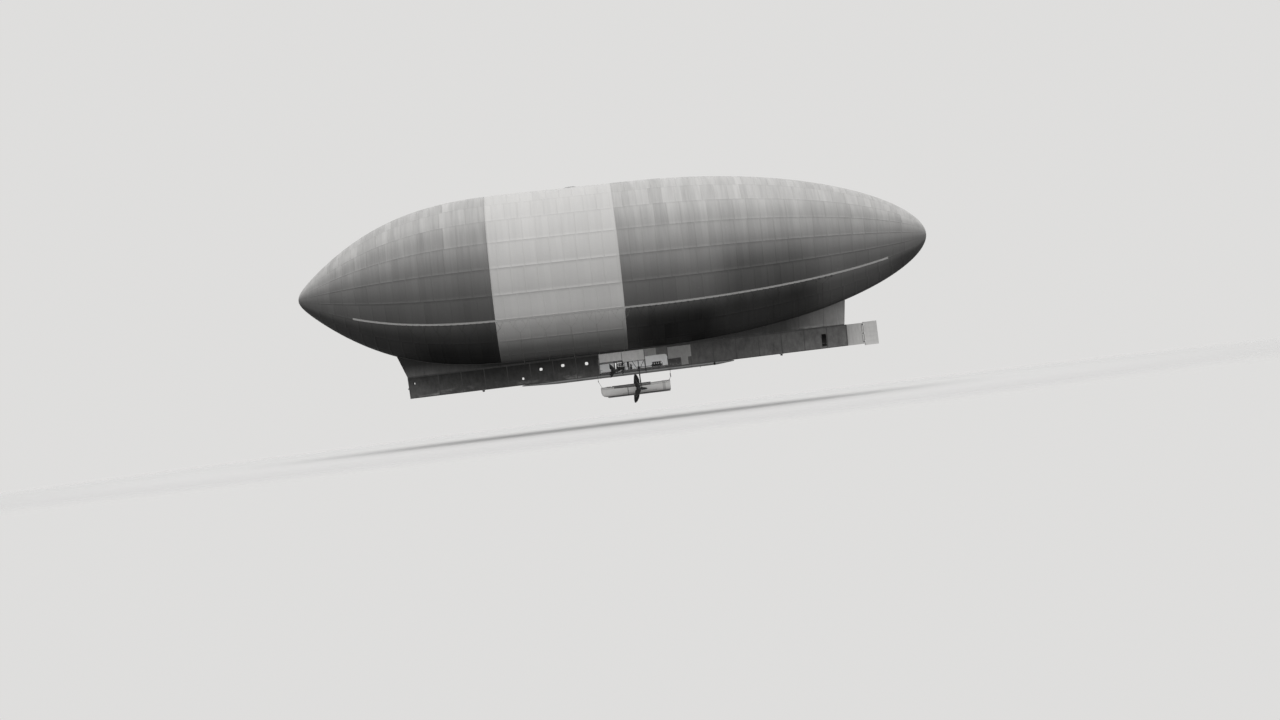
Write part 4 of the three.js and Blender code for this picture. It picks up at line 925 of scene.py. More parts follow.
def on_side(x, z, side, lift=0.0, depth=0.011, thick=0.010):
    """A point on the car's side: lift is outwards from the cloth's outer face."""
    x, z = np.broadcast_arrays(np.asarray(x, float), np.asarray(z, float))
    d = sag(x, z, depth) - lift
    y = side_y(z) - d * math.cos(SLOPE)
    zz = z + d * math.sin(SLOPE) * 1.0
    return np.stack([x, side * y, zz], -1)


def rounded(cx, cz, w, h, r, n=24):
    pts = []
    for sx, sz, a0 in ((1, 1, 0), (-1, 1, 90), (-1, -1, 180), (1, -1, 270)):
        for k in range(n // 4):
            a = math.radians(a0 + 90 * k / (n // 4 - 1))
            pts.append((cx + sx * (w / 2 - r) + r * math.cos(a), cz + sz * (h / 2 - r) + r * math.sin(a)))
    return pts


def fit_hole(X, Z, hole):
    """Opens a rounded hole in a grid: which cells go, with the ring of points moved to its edge."""
    cx, cz, w, h, r = hole
    # signed distance to the rounded rectangle
    qx = np.abs(X - cx) - (w / 2 - r)
    qz = np.abs(Z - cz) - (h / 2 - r)
    d = np.hypot(np.maximum(qx, 0), np.maximum(qz, 0)) + np.minimum(np.maximum(qx, qz), 0) - r
    mid = (d[:-1, :-1] + d[1:, :-1] + d[1:, 1:] + d[:-1, 1:]) / 4
    gone = mid < 0
    # points of gone cells that also touch kept cells are moved onto the edge
    touch_gone = np.zeros(X.shape, bool)
    touch_kept = np.zeros(X.shape, bool)
    for a in (0, 1):
        for b in (0, 1):
            view = (slice(a, X.shape[0] - 1 + a), slice(b, X.shape[1] - 1 + b))
            touch_gone[view] |= gone
            touch_kept[view] |= ~gone
    ring = touch_gone & touch_kept
    e = 1e-4

    def dist(x, z):
        qx, qz = np.abs(x - cx) - (w / 2 - r), np.abs(z - cz) - (h / 2 - r)
        return np.hypot(np.maximum(qx, 0), np.maximum(qz, 0)) + np.minimum(np.maximum(qx, qz), 0) - r

    for _ in range(4):
        x, z = X[ring], Z[ring]
        d0 = dist(x, z)
        gx = (dist(x + e, z) - dist(x - e, z)) / (2 * e)
        gz = (dist(x, z + e) - dist(x, z - e)) / (2 * e)
        X[ring] = x - d0 * gx
        Z[ring] = z - d0 * gz
    return gone


def side_cover(side, x0, x1, z0, z1, holes, step_x, rows, lift=-0.003, thick=0.005, depth=0.011, lower=None, upper=None):
    """Cloth on the car's side from x0 aft to x1; lower and upper may give the edges' heights at x."""
    n = max(2, int(round(abs(x0 - x1) / step_x)))
    X = np.repeat(np.linspace(x0, x1, n + 1)[:, None], rows + 1, 1)
    w = np.linspace(0, 1, rows + 1)[None, :]
    lo = np.full((n + 1, 1), z0) if lower is None else lower(X[:, :1])
    hi = np.full((n + 1, 1), z1) if upper is None else upper(X[:, :1])
    Z = lo + (hi - lo) * w
    gone = np.zeros((n, rows), bool)
    for h in holes:
        gone |= fit_hole(X, Z, h)
    g = on_side(X, Z, side, lift, depth)
    return g, ~gone


# lookouts: x, z, width, height
LOOKOUTS = [
    (11.090, -5.045, 0.120, 0.120),
    (5.149, -5.507, 0.130, 0.150),
    (4.120, -5.107, 0.180, 0.170),
    (2.907, -5.045, 0.190, 0.170),
    (1.596, -5.096, 0.190, 0.190),
]
LOOK_HOLES = [(x, z, w, h, min(w, h) * 0.35) for x, z, w, h in LOOKOUTS]
RADIATOR_HOLE = (-3.2525, -5.590, 0.615, 0.384, 0.02)
HATCH = (-11.5325, -5.3925, 0.255, 0.665, 0.015)


def hem_ring(s, hole, side, r=0.007, mat=1, lift=0.001, n=32):
    pts = rounded(*hole[:4], hole[4], n)
    p = np.array([on_side(x, z, side, lift) for x, z in pts])
    s.tube(p, r, 8, mat=mat, loop=True)


for side, word in ((1, "port"), (-1, "starboard")):
    for end in ("bow", "stern"):
        if end == "bow":
            x0, x1, holes, mat = CAR_FORE - 0.002, 0.940, LOOK_HOLES, COVER_BOW
        else:
            x0, x1, mat = -2.881, CAR_AFT + 0.002, COVER_STERN
            holes = [RADIATOR_HOLE] + ([HATCH] if side > 0 else [])
        s = Shape()
        g, keep = side_cover(side, x0, x1, CAR_BOTTOM + 0.001, CAR_TOP - 0.001, holes, 0.030, 40)
        if side > 0:
            g, keep = g[::-1], keep[::-1]
        s.sheet(g, 0.005, keep)
        for h in holes:
            hem_ring(s, h, side)
        # tapes over the frames, along the head and along the foot
        for x in STATIONS + [CAR_FORE - 0.03, CAR_AFT + 0.03]:
            if not (min(x0, x1) + 0.01 < x < max(x0, x1) - 0.01):
                continue
            zs = np.linspace(CAR_BOTTOM + 0.01, CAR_TOP - 0.01, 22)[None, :]
            xs = np.array([x - 0.019, x + 0.019])[:, None]
            near = [h for h in holes if abs(h[0] - x) < h[2] / 2 + 0.03]
            if near:
                continue
            p = on_side(xs, zs, side, 0.001)
            s.sheet(p if side < 0 else p[::-1], 0.0025, mat=1)
        for za, zb in ((CAR_TOP - 0.004, CAR_TOP - 0.040), (CAR_BOTTOM + 0.004, CAR_BOTTOM + 0.036)):
            xs = np.linspace(x0, x1, 160)[:, None]
            p = on_side(xs, np.array([zb, za] if za > zb else [za, zb])[None, :], side, 0.0015)
            s.sheet(p if side < 0 else p[::-1], 0.003, mat=1)
        # lacing through eyelets along the head
        for x in np.arange(min(x0, x1) + 0.06, max(x0, x1) - 0.04, 0.158):
            a = on_side(x, CAR_TOP - 0.020, side, 0.0045)
            b = on_side(x + 0.045, CAR_TOP - 0.003, side, 0.0045)
            s.tube([a, (a + b) / 2 + np.array([0, side * 0.003, 0]), b], 0.0028, 5, mat=2)
        mats = [mat, HEM, TUNNEL]
        if end == "stern":
            # dark slats across the radiator's opening stand in for the shade inside it: air passes, the eye doesn't
            cx, cz, w, h, r = RADIATOR_HOLE
            tilt = np.array([0, side * math.sin(math.radians(42)), math.cos(math.radians(42))])
            for z in np.linspace(cz - h / 2 + 0.020, cz + h / 2 - 0.020, 12):
                c = on_side(cx, z, side, -0.022)
                s.beam(c - (w / 2 - 0.004, 0, 0), c + (w / 2 - 0.004, 0, 0), 0.042, 0.0025, 0.0008, 4, up=tilt)
            for x in (cx - w / 2 + 0.008, cx, cx + w / 2 - 0.008):
                a, b = on_side(x, cz - h / 2 + 0.004, side, -0.022), on_side(x, cz + h / 2 - 0.004, side, -0.022)
                s.beam(a, b, 0.008, 0.012, 0.001, 4, up=(1, 0, 0))
            # lighter cloth sewn over the fore end of the stern cover
            for px0, px1, pz0, pz1 in ((-2.890, -4.165, -5.380, -4.745), (-3.590, -3.975, -5.790, -5.378)):
                n = int(abs(px0 - px1) / 0.04) + 1
                xs = np.linspace(px0, px1, n)[:, None]
                zs = np.linspace(pz0, pz1, 14)[None, :]
                h = RADIATOR_HOLE
                xg, zg = np.repeat(xs, 14, 1), np.repeat(zs, n, 0)
                if pz0 < -5.3 and px0 > -3:
                    # its foot is cut round the radiator's opening
                    inside = (np.abs(xg - h[0]) < h[2] / 2 + 0.012) & (zg < h[1] + h[3] / 2 + 0.012)
                    zg = np.where(inside, h[1] + h[3] / 2 + 0.012 + (zg - pz0) * 0.02, zg)
                p = on_side(xg, zg, side, 0.0025)
                s.sheet(p if side < 0 else p[::-1], 0.0025, mat=3)
            mats += [CANVAS_GREY, CANVAS_DARK]
        place(s, "cover_%s_%s_cloth" % (end, word), mats, "airship", ["cover_%s_%s" % (end, word)], sharp=50)

    # canvases beside the open engine space
    s = Shape()

    def lower_fore(x):
        if side > 0:
            return np.interp(-x, [-0.915, 0.35, 0.41, 1.6], [-5.150, -5.150, -5.260, -5.260])
        return np.interp(-x, [-0.915, -0.080, -0.076, 0.381, 0.385, 1.6], [-5.842, -5.842, -5.252, -5.252, -5.842, -5.842])

    # the starboard canvases take the lighter copy, partly painted light
    light = CANVAS if side > 0 else CANVAS_FAR
    if side > 0:
        parts, tapes = [(0.913, -1.598)], (0.905, -0.352, -1.59)
    else:
        parts, tapes = [(0.913, 0.080), (0.0795, -0.3845), (-0.385, -1.598)], (0.905, 0.098, -0.390, -1.59)
    for xa, xb in parts:
        def lower_part(x, xa=xa, xb=xb):
            return lower_fore(np.clip(x, xb + 0.006, xa - 0.006)) if side < 0 else lower_fore(x)

        g, keep = side_cover(side, xa, xb, 0, CAR_TOP - 0.001, [], 0.03, 16, lower=lower_part, depth=0.014)
        s.sheet(g if side < 0 else g[::-1], 0.004)
    edge_x = np.linspace(0.91, -1.595, 90) if side > 0 else np.array(list(np.linspace(0.91, 0.081, 30)) + [0.0755] + list(np.linspace(0.07, -0.375, 16)) + [-0.3805] + list(np.linspace(-0.386, -1.595, 40)))
    edge = np.array([on_side(x, lower_fore(x), side, 0.002, 0.014) for x in edge_x])
    s.tube(edge, 0.007, 8, mat=1)
    for x in tapes:
        zs = np.linspace(float(lower_fore(x)), CAR_TOP - 0.01, 8)[None, :]
        p = on_side(np.array([x - 0.02 if x > -1.5 else x - 0.005, x + 0.005 if x > 0.8 else x + 0.02])[:, None], zs, side, 0.0015, 0.014)
        s.sheet(p if side < 0 else p[::-1], 0.003, mat=1)
    if side > 0:
        # the lower part of the canvas, rolled up and lashed below its edge
        roll = np.array([on_side(x, -5.198, side, -0.016, 0.014) for x in np.linspace(0.892, -0.332, 60)])
        roll[:, 2] += 0.002 * np.sin(roll[:, 0] * 21)
        s.tube(roll, 0.029, 18, mat=2)
        for x in (0.80, 0.44, 0.08, -0.26):
            s.lathe([(0.028, -0.007), (0.0315, -0.006), (0.0315, 0.006), (0.028, 0.007)], on_side(x, -5.198, side, -0.016, 0.014), (1, 0, 0), 18, mat=1)
    place(s, "canvas_fore_%s_cloth" % word, [light, CANVAS_GREY, CANVAS_DARK], "airship", ["canvas_fore_" + word], sharp=50)

    s = Shape()

    def lower_aft(x):
        if side > 0:
            return np.interp(-x, [1.618, 2.700, 2.800, 2.840, 2.860], [-5.090, -5.090, -5.130, -5.230, -5.340])
        return np.full(np.shape(x), -5.842)

    for xa, xb, mat in ((-1.620, -2.262, 0), (-2.250, -2.862, 1)) if side > 0 else ((-1.620, -2.864, 3),):
        g, keep = side_cover(side, xa, xb, 0, CAR_TOP - 0.001, [], 0.02, 12, lower=lower_aft, depth=0.014, lift=-0.003 + 0.002 * (mat == 1))
        s.sheet(g if side < 0 else g[::-1], 0.004, mat=mat)
    edge = np.array([on_side(x, lower_aft(x), side, 0.002, 0.014) for x in np.concatenate([np.linspace(-1.62, -2.7, 40), np.linspace(-2.72, -2.86, 12)])])
    s.tube(edge, 0.007, 8, mat=2)
    place(s, "canvas_aft_%s_cloth" % word, [CANVAS_GREY, CANVAS_DARK, CANVAS, light], "airship", ["canvas_aft_" + word], sharp=50)

# flat cloth across the car's two ends
for end, xe, out in (("bow", CAR_FORE - 0.005, 1), ("stern", CAR_AFT + 0.005, -1)):
    s = Shape()
    t = np.linspace(-1, 1, 25)[:, None]
    zs = np.linspace(CAR_BOTTOM + 0.003, CAR_TOP - 0.003, 25)[None, :]
    hw = side_y(zs) - 0.013
    yy = t * hw
    h = (zs - CAR_BOTTOM) / (CAR_TOP - CAR_BOTTOM)
    xx = xe - out * 0.008 * np.cos(t * math.pi / 2) * np.sin(math.pi * h) * (0 if out < 0 else 1) + 0 * yy
    g = np.stack([xx, yy, zs + 0 * t], -1)
    s.sheet(g if out > 0 else g[::-1], 0.006)
    rim = [(xe + out * 0.003, k * float(side_y(z) - 0.016), z) for k, z in [(-1, CAR_TOP - 0.008), (1, CAR_TOP - 0.008), (1, CAR_BOTTOM + 0.008), (-1, CAR_BOTTOM + 0.008)]]
    for a, b in zip(rim, rim[1:] + rim[:1]):
        s.rod(a, b, 0.0055, 8, mat=1)
    place(s, "end_cover_%s_cloth" % end, [COVER_BOW if out > 0 else COVER_STERN, HEM], "airship", ["end_cover_" + end], sharp=50)


# ---------------------------------------------------------------- the open engine space: tubes and wires
CHORD_TOP = (0.566, CAR_TOP - 0.015)
CHORD_BOTTOM = (0.124, -5.840)


def chord_y(z):
    return CHORD_BOTTOM[0] + (CHORD_TOP[0] - CHORD_BOTTOM[0]) * (z - CHORD_BOTTOM[1]) / (CHORD_TOP[1] - CHORD_BOTTOM[1])


OPEN_POSTS = [BAY_0, 0.075, -0.035, BAY_0 - BAY, -1.230, BAY_0 - 2 * BAY, OPEN_AFT]
OPEN_BARS = [
    (BAY_0, -5.233, -0.347, -5.233, 0.011),
    (-0.347, -5.275, -1.609, -5.275, 0.008),
    (-0.900, -5.275, -1.205, CHORD_BOTTOM[1], 0.008),
    (-1.560, -5.275, -1.205, CHORD_BOTTOM[1], 0.008),
    (BAY_0, CHORD_TOP[1], -0.347, -5.233, 0.007),
    (-1.609, CHORD_TOP[1], -2.871, -5.120, 0.007),
]
for side, word in ((1, "port"), (-1, "starboard")):
    s = Shape()

    def at(x, z):
        return np.array([x, side * chord_y(z), z])

    for z in (CHORD_TOP[1], CHORD_BOTTOM[1]):
        s.rod(at(-2.857, z), at(0.929, z), 0.015, 16, chamfer=0.002)
    for x in OPEN_POSTS:
        a, b = at(x, CHORD_BOTTOM[1]), at(x, CHORD_TOP[1])
        s.rod(a, b, 0.013, 14)
        for p, q in ((a, b), (b, a)):
            d = (q - p) / np.linalg.norm(q - p)
            s.lathe([(0.015, 0.004), (0.019, 0.010), (0.019, 0.050), (0.0155, 0.058)], p, d, 14)
            s.rod(p + np.array([-0.034, 0, 0]), p + np.array([0.034, 0, 0]), 0.0185, 14, chamfer=0.002)
            for k in (-0.022, 0.022):
                s.bolt(p + np.array([k, side * 0.0175, 0]), (0, side, 0), 0.0045, 0.006, 1)
    for x0, z0, x1, z1, r in OPEN_BARS:
        a, b = at(x0, z0), at(x1, z1)
        s.rod(a, b, r, 12)
        d = (b - a) / np.linalg.norm(b - a)
        for p, e in ((a, d), (b, -d)):
            s.lathe([(r, 0.012), (r + 0.004, 0.016), (r + 0.004, 0.042), (r, 0.048)], p, e, 12)
            s.lathe([(0.012, -0.014), (0.0175, -0.011), (0.0175, 0.011), (0.012, 0.014)], p, (0, math.sin(SLOPE) * side, math.cos(SLOPE)), 12)
    # clips that hold the canvas to the rail
    for x in np.arange(0.85, -0.30, -0.16):
        c = at(x, -5.233)
        s.lathe([(0.011, -0.006), (0.0135, -0.005), (0.0135, 0.005), (0.011, 0.006)], c, (1, 0, 0), 10, mat=1)
    place(s, "open_frame_%s_tubes" % word, [STEEL, STEEL_BARE], "airship", ["side_frame_mid_" + word])


# ---------------------------------------------------------------- fuel tank
s = Shape()
TZ, TR = -5.898, 0.114
prof = [(0.0, 5.245), (0.018, 5.244), (0.026, 5.238)]
for t in np.linspace(0, 1, 14)[1:]:
    prof.append((0.026 + (TR - 0.026) * (1 - (1 - t) ** 1.25), 5.238 - (5.238 - 3.215) * t))
body_x = [3.215]
seams = [2.45, 1.20, -0.05, -1.30, -2.55, -3.80, -5.05]
for x in seams:
    prof += [(TR - 0.0005, x + 0.012), (TR + 0.002, x + 0.009), (TR + 0.002, x - 0.009), (TR - 0.0005, x - 0.012)]
for t in np.linspace(0, 1, 14)[:-1]:
    prof.append((0.026 + (TR - 0.026) * (1 - t ** 1.25), -5.455 - (6.490 - 5.455) * t))
prof += [(0.026, -6.490), (0.018, -6.496), (0.0, -6.497)]
s.lathe([(r, x) for r, x in prof], (0, 0, TZ), (1, 0, 0), 40)
# straps from the keel, with a tightening bolt on each side
for x in [BAY_0 + BAY * k for k in range(-5, 4)]:
    if not -5.6 < x < 3.3:
        continue
    a = np.radians(np.linspace(-212, 32, 33))
    u = np.stack([np.cos(a), np.sin(a)], -1) * (TR + 0.003)
    ring = np.array([[(x + dx, p[0], TZ + p[1]) for dx in (-0.016, 0.016)] for p in u])
    s.sheet(ring, 0.0025, mat=1)
    for sy in (-1, 1):
        s.rod((x, sy * (TR - 0.012), TZ + 0.066), (x, sy * (TR - 0.012), TZ + 0.108), 0.005, 8, mat=1)
        s.lathe([(0.009, 0), (0.009, 0.008), (0.006, 0.010)], (x, sy * (TR - 0.012), TZ + 0.070), (0, 0, 1), 6, mat=1)
# filler caps, gauge cocks and the drain
for x in (0.379, -0.318, -1.602):
    for sy in (1, -1):
        c = np.array([x, sy * (TR - 0.002) * math.cos(0.25), TZ + TR * math.sin(0.25)])
        n = np.array([0, sy * math.cos(0.25), math.sin(0.25)])
        s.lathe([(0.034, 0), (0.034, 0.004), (0.022, 0.006), (0.022, 0.014), (0.018, 0.018), (0.006, 0.019)], c, n, 20, mat=2)
        for k in range(6):
            ang = k * math.pi / 3
            v = np.array([math.cos(ang), -n[2] * math.sin(ang) * sy, abs(n[1]) * math.sin(ang)]) * 0.028
            s.bolt(c + v + n * 0.004, n, 0.0035, 0.003, 2)
s.lathe([(0.116, -0.05), (0.121, -0.046), (0.121, 0.046), (0.116, 0.05)], (-5.40, 0, TZ), (1, 0, 0), 40, mat=2)
for sy in (-1, 1):
    s.lathe([(0.03, 0), (0.03, 0.012), (0.02, 0.02), (0.006, 0.022)], (-5.40, sy * 0.108, TZ - 0.03), (0, sy, -0.3), 16, mat=2)
s.lathe([(0.020, 0), (0.020, 0.010), (0.009, 0.012), (0.009, 0.045), (0.013, 0.047), (0.013, 0.055), (0.004, 0.057)], (-4.60, 0, TZ - TR + 0.004), (0, 0, -1), 14, mat=2)
s.rod((-4.60 - 0.028, 0, TZ - TR - 0.034), (-4.60 + 0.028, 0, TZ - TR - 0.034), 0.0035, 8, mat=3)
place(s, "fuel_tank_sheet", [TANK, STEEL_BARE, IRON, BRASS], "airship", ["fuel_tank"])


# ---------------------------------------------------------------- engines
def engine(name, xc, length, zb, zt, wide, cylinders=4):
    s = Shape()
    h = length / 2
    zc = zb + (zt - zb) * 0.45
    k = (zt - zb) / 0.408
    # crankcase in two halves with a flange between, feet and covers
    zm = zb + (zc - zb) * 0.52
    w = min(0.086, wide - 0.006)
    s.box((xc - h + 0.006, -w * 0.80, zb + 0.006 * k), (xc + h - 0.006, w * 0.80, zm - 0.003), 0.016 * k)
    s.box((xc - h, -w, zm - 0.007 * k), (xc + h, w, zm + 0.005 * k), 0.003 * k)
    s.box((xc - h + 0.006, -w * 0.86, zm + 0.003), (xc + h - 0.006, w * 0.86, zc), 0.014 * k)
    for sx in (-0.86, -0.3, 0.3, 0.86):
        for sy in (-1, 1):
            s.box((xc + sx * h - 0.018, sy * w * 0.7, zb), (xc + sx * h + 0.018, sy * w * 1.02, zb + 0.016 * k), 0.003)
            s.bolt((xc + sx * h, sy * w * 0.93, zb + 0.016 * k), (0, 0, 1), 0.006, 0.007, 1)
            s.beam((xc + sx * h, sy * w * 0.97, zb + 0.014 * k), (xc + sx * h, sy * w * 0.80, zm - 0.008 * k), 0.008, 0.010, 0.002)
    n = 9
    for i in range(n):
        for sy in (-1, 1):
            s.bolt((xc - h * 0.94 + i * h * 1.88 / (n - 1), sy * w * 0.94, zm + 0.005 * k), (0, 0, 1), 0.004, 0.005, 1)
    pitch = length * 0.86 / cylinders
    r = pitch * 0.40
    for i in range(cylinders):
        x = xc + pitch * (i - (cylinders - 1) / 2)
        H = zt - zc
        s.lathe([(r * 1.02, -0.004), (r * 1.02, 0.010 * k), (r * 0.80, 0.014 * k), (r * 0.80, H * 0.26), (r * 0.98, H * 0.30), (r, H * 0.34), (r, H * 0.74), (r * 0.94, H * 0.83), (r * 0.74, H * 0.90), (r * 0.5, H * 0.93), (0.004, H * 0.935)], (x, 0, zc), (0, 0, 1), 28)
        for a in range(6):
            q = math.radians(60 * a + 30)
            s.bolt((x + r * 0.91 * math.cos(q), r * 0.91 * math.sin(q), zc + 0.010 * k), (0, 0, 1), 0.0035, 0.005, 1)
        # jacket bands, valve cage, plug and rocker
        for zz in (0.36, 0.72):
            s.lathe([(r * 1.0, -0.003), (r * 1.035, -0.002), (r * 1.035, 0.002), (r * 1.0, 0.003)], (x, 0, zc + H * zz), (0, 0, 1), 28)
        s.lathe([(0.011 * k, 0), (0.011 * k, 0.012 * k), (0.007 * k, 0.014 * k), (0.007 * k, 0.022 * k), (0.003, 0.024 * k)], (x - r * 0.35, -r * 0.15, zc + H * 0.90), (0, 0, 1), 12, mat=1)
        s.lathe([(0.008 * k, 0), (0.008 * k, 0.010 * k), (0.0045 * k, 0.012 * k), (0.0045 * k, 0.026 * k), (0.002, 0.027 * k)], (x + r * 0.35, -r * 0.1, zc + H * 0.90), (0, 0, 1), 10, mat=2)
        s.beam((x - r * 0.35, -r * 0.15, zc + H * 0.985), (x - r * 0.25, r * 0.95, zc + H * 0.975), 0.007 * k, 0.006 * k, 0.001, mat=1)
        s.rod((x - r * 0.25, r * 1.08, zc + 0.004), (x - r * 0.25, r * 0.98, zc + H * 0.98), 0.0035 * k, 8, mat=1)
        s.lathe([(0.007 * k, 0), (0.007 * k, 0.03 * k), (0.005 * k, 0.034 * k)], (x - r * 0.25, r * 1.08, zc - 0.004), (0, 0, 1), 10, mat=1)
        # ports to the exhaust and the intake
        ye = min(pitch * 0.4 + 0.008, wide - 0.03)
        s.tube([(x + 0.006, r * 0.75, zc + H * 0.72), (x + 0.006, ye * 0.94, zc + H * 0.74), (x + 0.006, ye, zt - 0.034 * k)], 0.010 * k, 10, mat=3)
        s.tube([(x - 0.006, -r * 0.75, zc + H * 0.66), (x - 0.006, -r * 1.05, zc + H * 0.62), (x - 0.006, -r * 1.12, zc + H * 0.48)], 0.0085 * k, 10, mat=4)
        # lead from the plug to the distributor
        p0, p1 = np.array([x + r * 0.35, -r * 0.1, zc + H * 0.90 + 0.024 * k]), np.array([xc + h * 0.80, -w * 0.55, zc + 0.05 * k])
        t = np.linspace(0, 1, 10)[:, None]
        mid = np.array([0, -r * 0.9, 0.0])
        s.tube(p0 * (1 - t) + p1 * t + mid * np.sin(math.pi * t) + np.array([0, 0, 0.004]) * np.sin(2 * math.pi * t), 0.0022, 6, mat=5)
    ye = min(pitch * 0.4 + 0.008, wide - 0.03)
    ex = [(xc + h * 0.84, ye, zt - 0.034 * k), (xc + h * 0.3, ye, zt - 0.034 * k), (xc - h * 0.3, ye, zt - 0.034 * k), (xc - h * 0.84, ye, zt - 0.034 * k), (xc - h * 0.98, ye, zt - 0.042 * k), (xc - h * 1.02, ye + 0.002, zt - 0.09 * k)]
    s.tube(ex, [0.012 * k, 0.0145 * k, 0.0165 * k, 0.018 * k, 0.018 * k, 0.0175 * k], 16, mat=3)
    ix = [(xc + h * 0.72, -r * 1.12, zc + (zt - zc) * 0.46), (xc, -r * 1.14, zc + (zt - zc) * 0.45), (xc - h * 0.72, -r * 1.12, zc + (zt - zc) * 0.46)]
    s.tube(ix, 0.011 * k, 12, mat=4)
    s.tube([(xc, -r * 1.14, zc + (zt - zc) * 0.45), (xc, -r * 1.2, zc + (zt - zc) * 0.30), (xc, -r * 1.2, zc + (zt - zc) * 0.22)], 0.012 * k, 12, mat=4)
    s.lathe([(0.015 * k, 0), (0.019 * k, 0.006), (0.019 * k, 0.034 * k), (0.012 * k, 0.04 * k), (0.012 * k, 0.052 * k), (0.004, 0.054 * k)], (xc, -r * 1.2, zc - 0.024 * k), (0, 0, 1), 18, mat=4)
    s.lathe([(0.014 * k, 0), (0.014 * k, 0.030 * k), (0.010 * k, 0.034 * k)], (xc + 0.034 * k, -r * 1.2, zc - 0.010 * k), (0, 0, 1), 16, mat=4)
    # water pipe over the heads
    zw = zc + (zt - zc) * 0.945
    s.tube([(xc + h * 0.90, r * 0.28, zw - 0.03 * k), (xc + h * 0.84, r * 0.28, zw), (xc, r * 0.28, zw + 0.002), (xc - h * 0.84, r * 0.28, zw), (xc - h * 0.90, r * 0.28, zw - 0.02 * k)], 0.0085 * k, 12, mat=4)
    # magneto and gear case at the fore end, flywheel at the aft end
    s.box((xc + h * 0.62, -w * 0.98, zc - 0.004), (xc + h * 0.96, -w * 0.30, zc + 0.052 * k), 0.008 * k, 5)
    s.lathe([(0.030 * k, 0), (0.034 * k, 0.003), (0.034 * k, 0.016), (0.012 * k, 0.020), (0.012 * k, 0.030), (0.004, 0.031)], (xc + h - 0.006, 0, (zb + zc) / 2), (1, 0, 0), 24)
    fr = zc - 0.030 - zb - 0.002
    fz = zc - 0.030
    x0 = xc - h - 0.044
    prof = [(0.012, 0.000), (0.024, 0.001), (0.026, 0.012), (fr * 0.34, 0.014), (fr * 0.72, 0.013), (fr * 0.80, 0.004), (fr * 0.97, 0.002), (fr, 0.005), (fr, 0.033), (fr * 0.97, 0.036), (fr * 0.80, 0.034), (fr * 0.74, 0.026), (fr * 0.30, 0.026), (0.020, 0.034), (0.018, 0.049)]
    s.lathe(prof, (x0, 0, fz), (1, 0, 0), 48, mat=6)
    for a in range(6):
        q = math.radians(60 * a)
        s.bolt((x0 + 0.0145, 0.030 * math.cos(q) * k + 0, fz + 0.030 * math.sin(q) * k), (-1, 0, 0), 0.004, 0.005, 1)
    place(s, name + "_works", [IRON, STEEL_BARE, BRASS, metal("%s exhaust" % name, 0.06, 0.65, 0.4, 0.5, 0.4), metal("%s pipes" % name, 0.16, 0.4, 0.8), metal("%s fittings" % name, 0.02, 0.5, 0.1), metal("%s flywheel" % name, 0.08, 0.4, 0.8)], "airship", [name])


engine("engine_forward", -0.240, 0.420, -5.698, -5.290, 0.149)
engine("engine_aft", -2.230, 0.560, -5.698, -5.440, 0.092)

# the small engine and the blower
s = Shape()
s.box((-0.872, -0.060, -5.698), (-0.745, 0.060, -5.575), 0.014)
s.box((-0.872, -0.088, -5.698), (-0.650, 0.088, -5.684), 0.003)
s.lathe([(0.052, 0), (0.052, 0.006), (0.040, 0.008), (0.040, 0.018)], (-0.810, 0, -5.578), (0, 0, 1), 24)
for i in range(13):
    z = -5.562 + i * 0.0098
    rr = 0.048 if i < 11 else 0.048 - (i - 10) * 0.006
    s.lathe([(0.028, 0), (rr, 0.0015), (rr, 0.0035), (0.028, 0.005)], (-0.810, 0, z), (0, 0, 1), 28)
s.lathe([(0.029, 0), (0.029, 0.13), (0.024, 0.146), (0.008, 0.151)], (-0.810, 0, -5.565), (0, 0, 1), 24)
s.lathe([(0.006, 0), (0.006, 0.010), (0.004, 0.012), (0.004, 0.022), (0.001, 0.023)], (-0.810, 0.0, -5.423), (0, 0, 1), 10, mat=2)
s.tube([(-0.835, 0, -5.46), (-0.860, 0.006, -5.465), (-0.866, 0.02, -5.50), (-0.866, 0.05, -5.56)], 0.009, 12, mat=1)
# the blower's snail casing, its inlet ring and outlet
turns = np.linspace(0, 2 * math.pi, 41)[:-1]
for y0, y1 in ((-0.094, 0.094),):
    ring_a, ring_b, in_a, in_b = [], [], [], []
    for a in turns:
        rr = 0.070 + 0.007 * (a / (2 * math.pi))
        c = (-0.700 + rr * math.cos(a + 0.6), -5.600 + rr * math.sin(a + 0.6))
        ring_a.append((c[0], y0 * 0.72, c[1]))
        ring_b.append((c[0], y1 * 0.72, c[1]))
    s.rings([[(p[0] * 0.96 - 0.700 * 0.04, p[1] - 0.008 * 1, p[2] * 0.96 - 5.600 * 0.04) for p in ring_a], ring_a, ring_b, [(p[0] * 0.96 - 0.700 * 0.04, p[1] + 0.008, p[2] * 0.96 - 5.600 * 0.04) for p in ring_b]])
for sy in (-1, 1):
    s.lathe([(0.044, 0), (0.044, 0.014), (0.040, 0.018), (0.034, 0.018), (0.032, 0.010), (0.010, 0.008), (0.008, 0.020), (0.002, 0.021)], (-0.700, sy * 0.073, -5.600), (0, sy, 0), 28, mat=1)
    for a in range(8):
        q = a * math.pi / 4
        s.bolt((-0.700 + 0.056 * math.cos(q), sy * 0.0745, -5.600 + 0.056 * math.sin(q)), (0, sy, 0), 0.004, 0.004, 1)
s.tube([(-0.690, -0.060, -5.560), (-0.675, -0.085, -5.545), (-0.670, -0.090, -5.523)], [0.040, 0.050, 0.058], 20, mat=0)
place(s, "blower_engine_works", [IRON, STEEL_BARE, BRASS], "airship", ["blower_engine"])

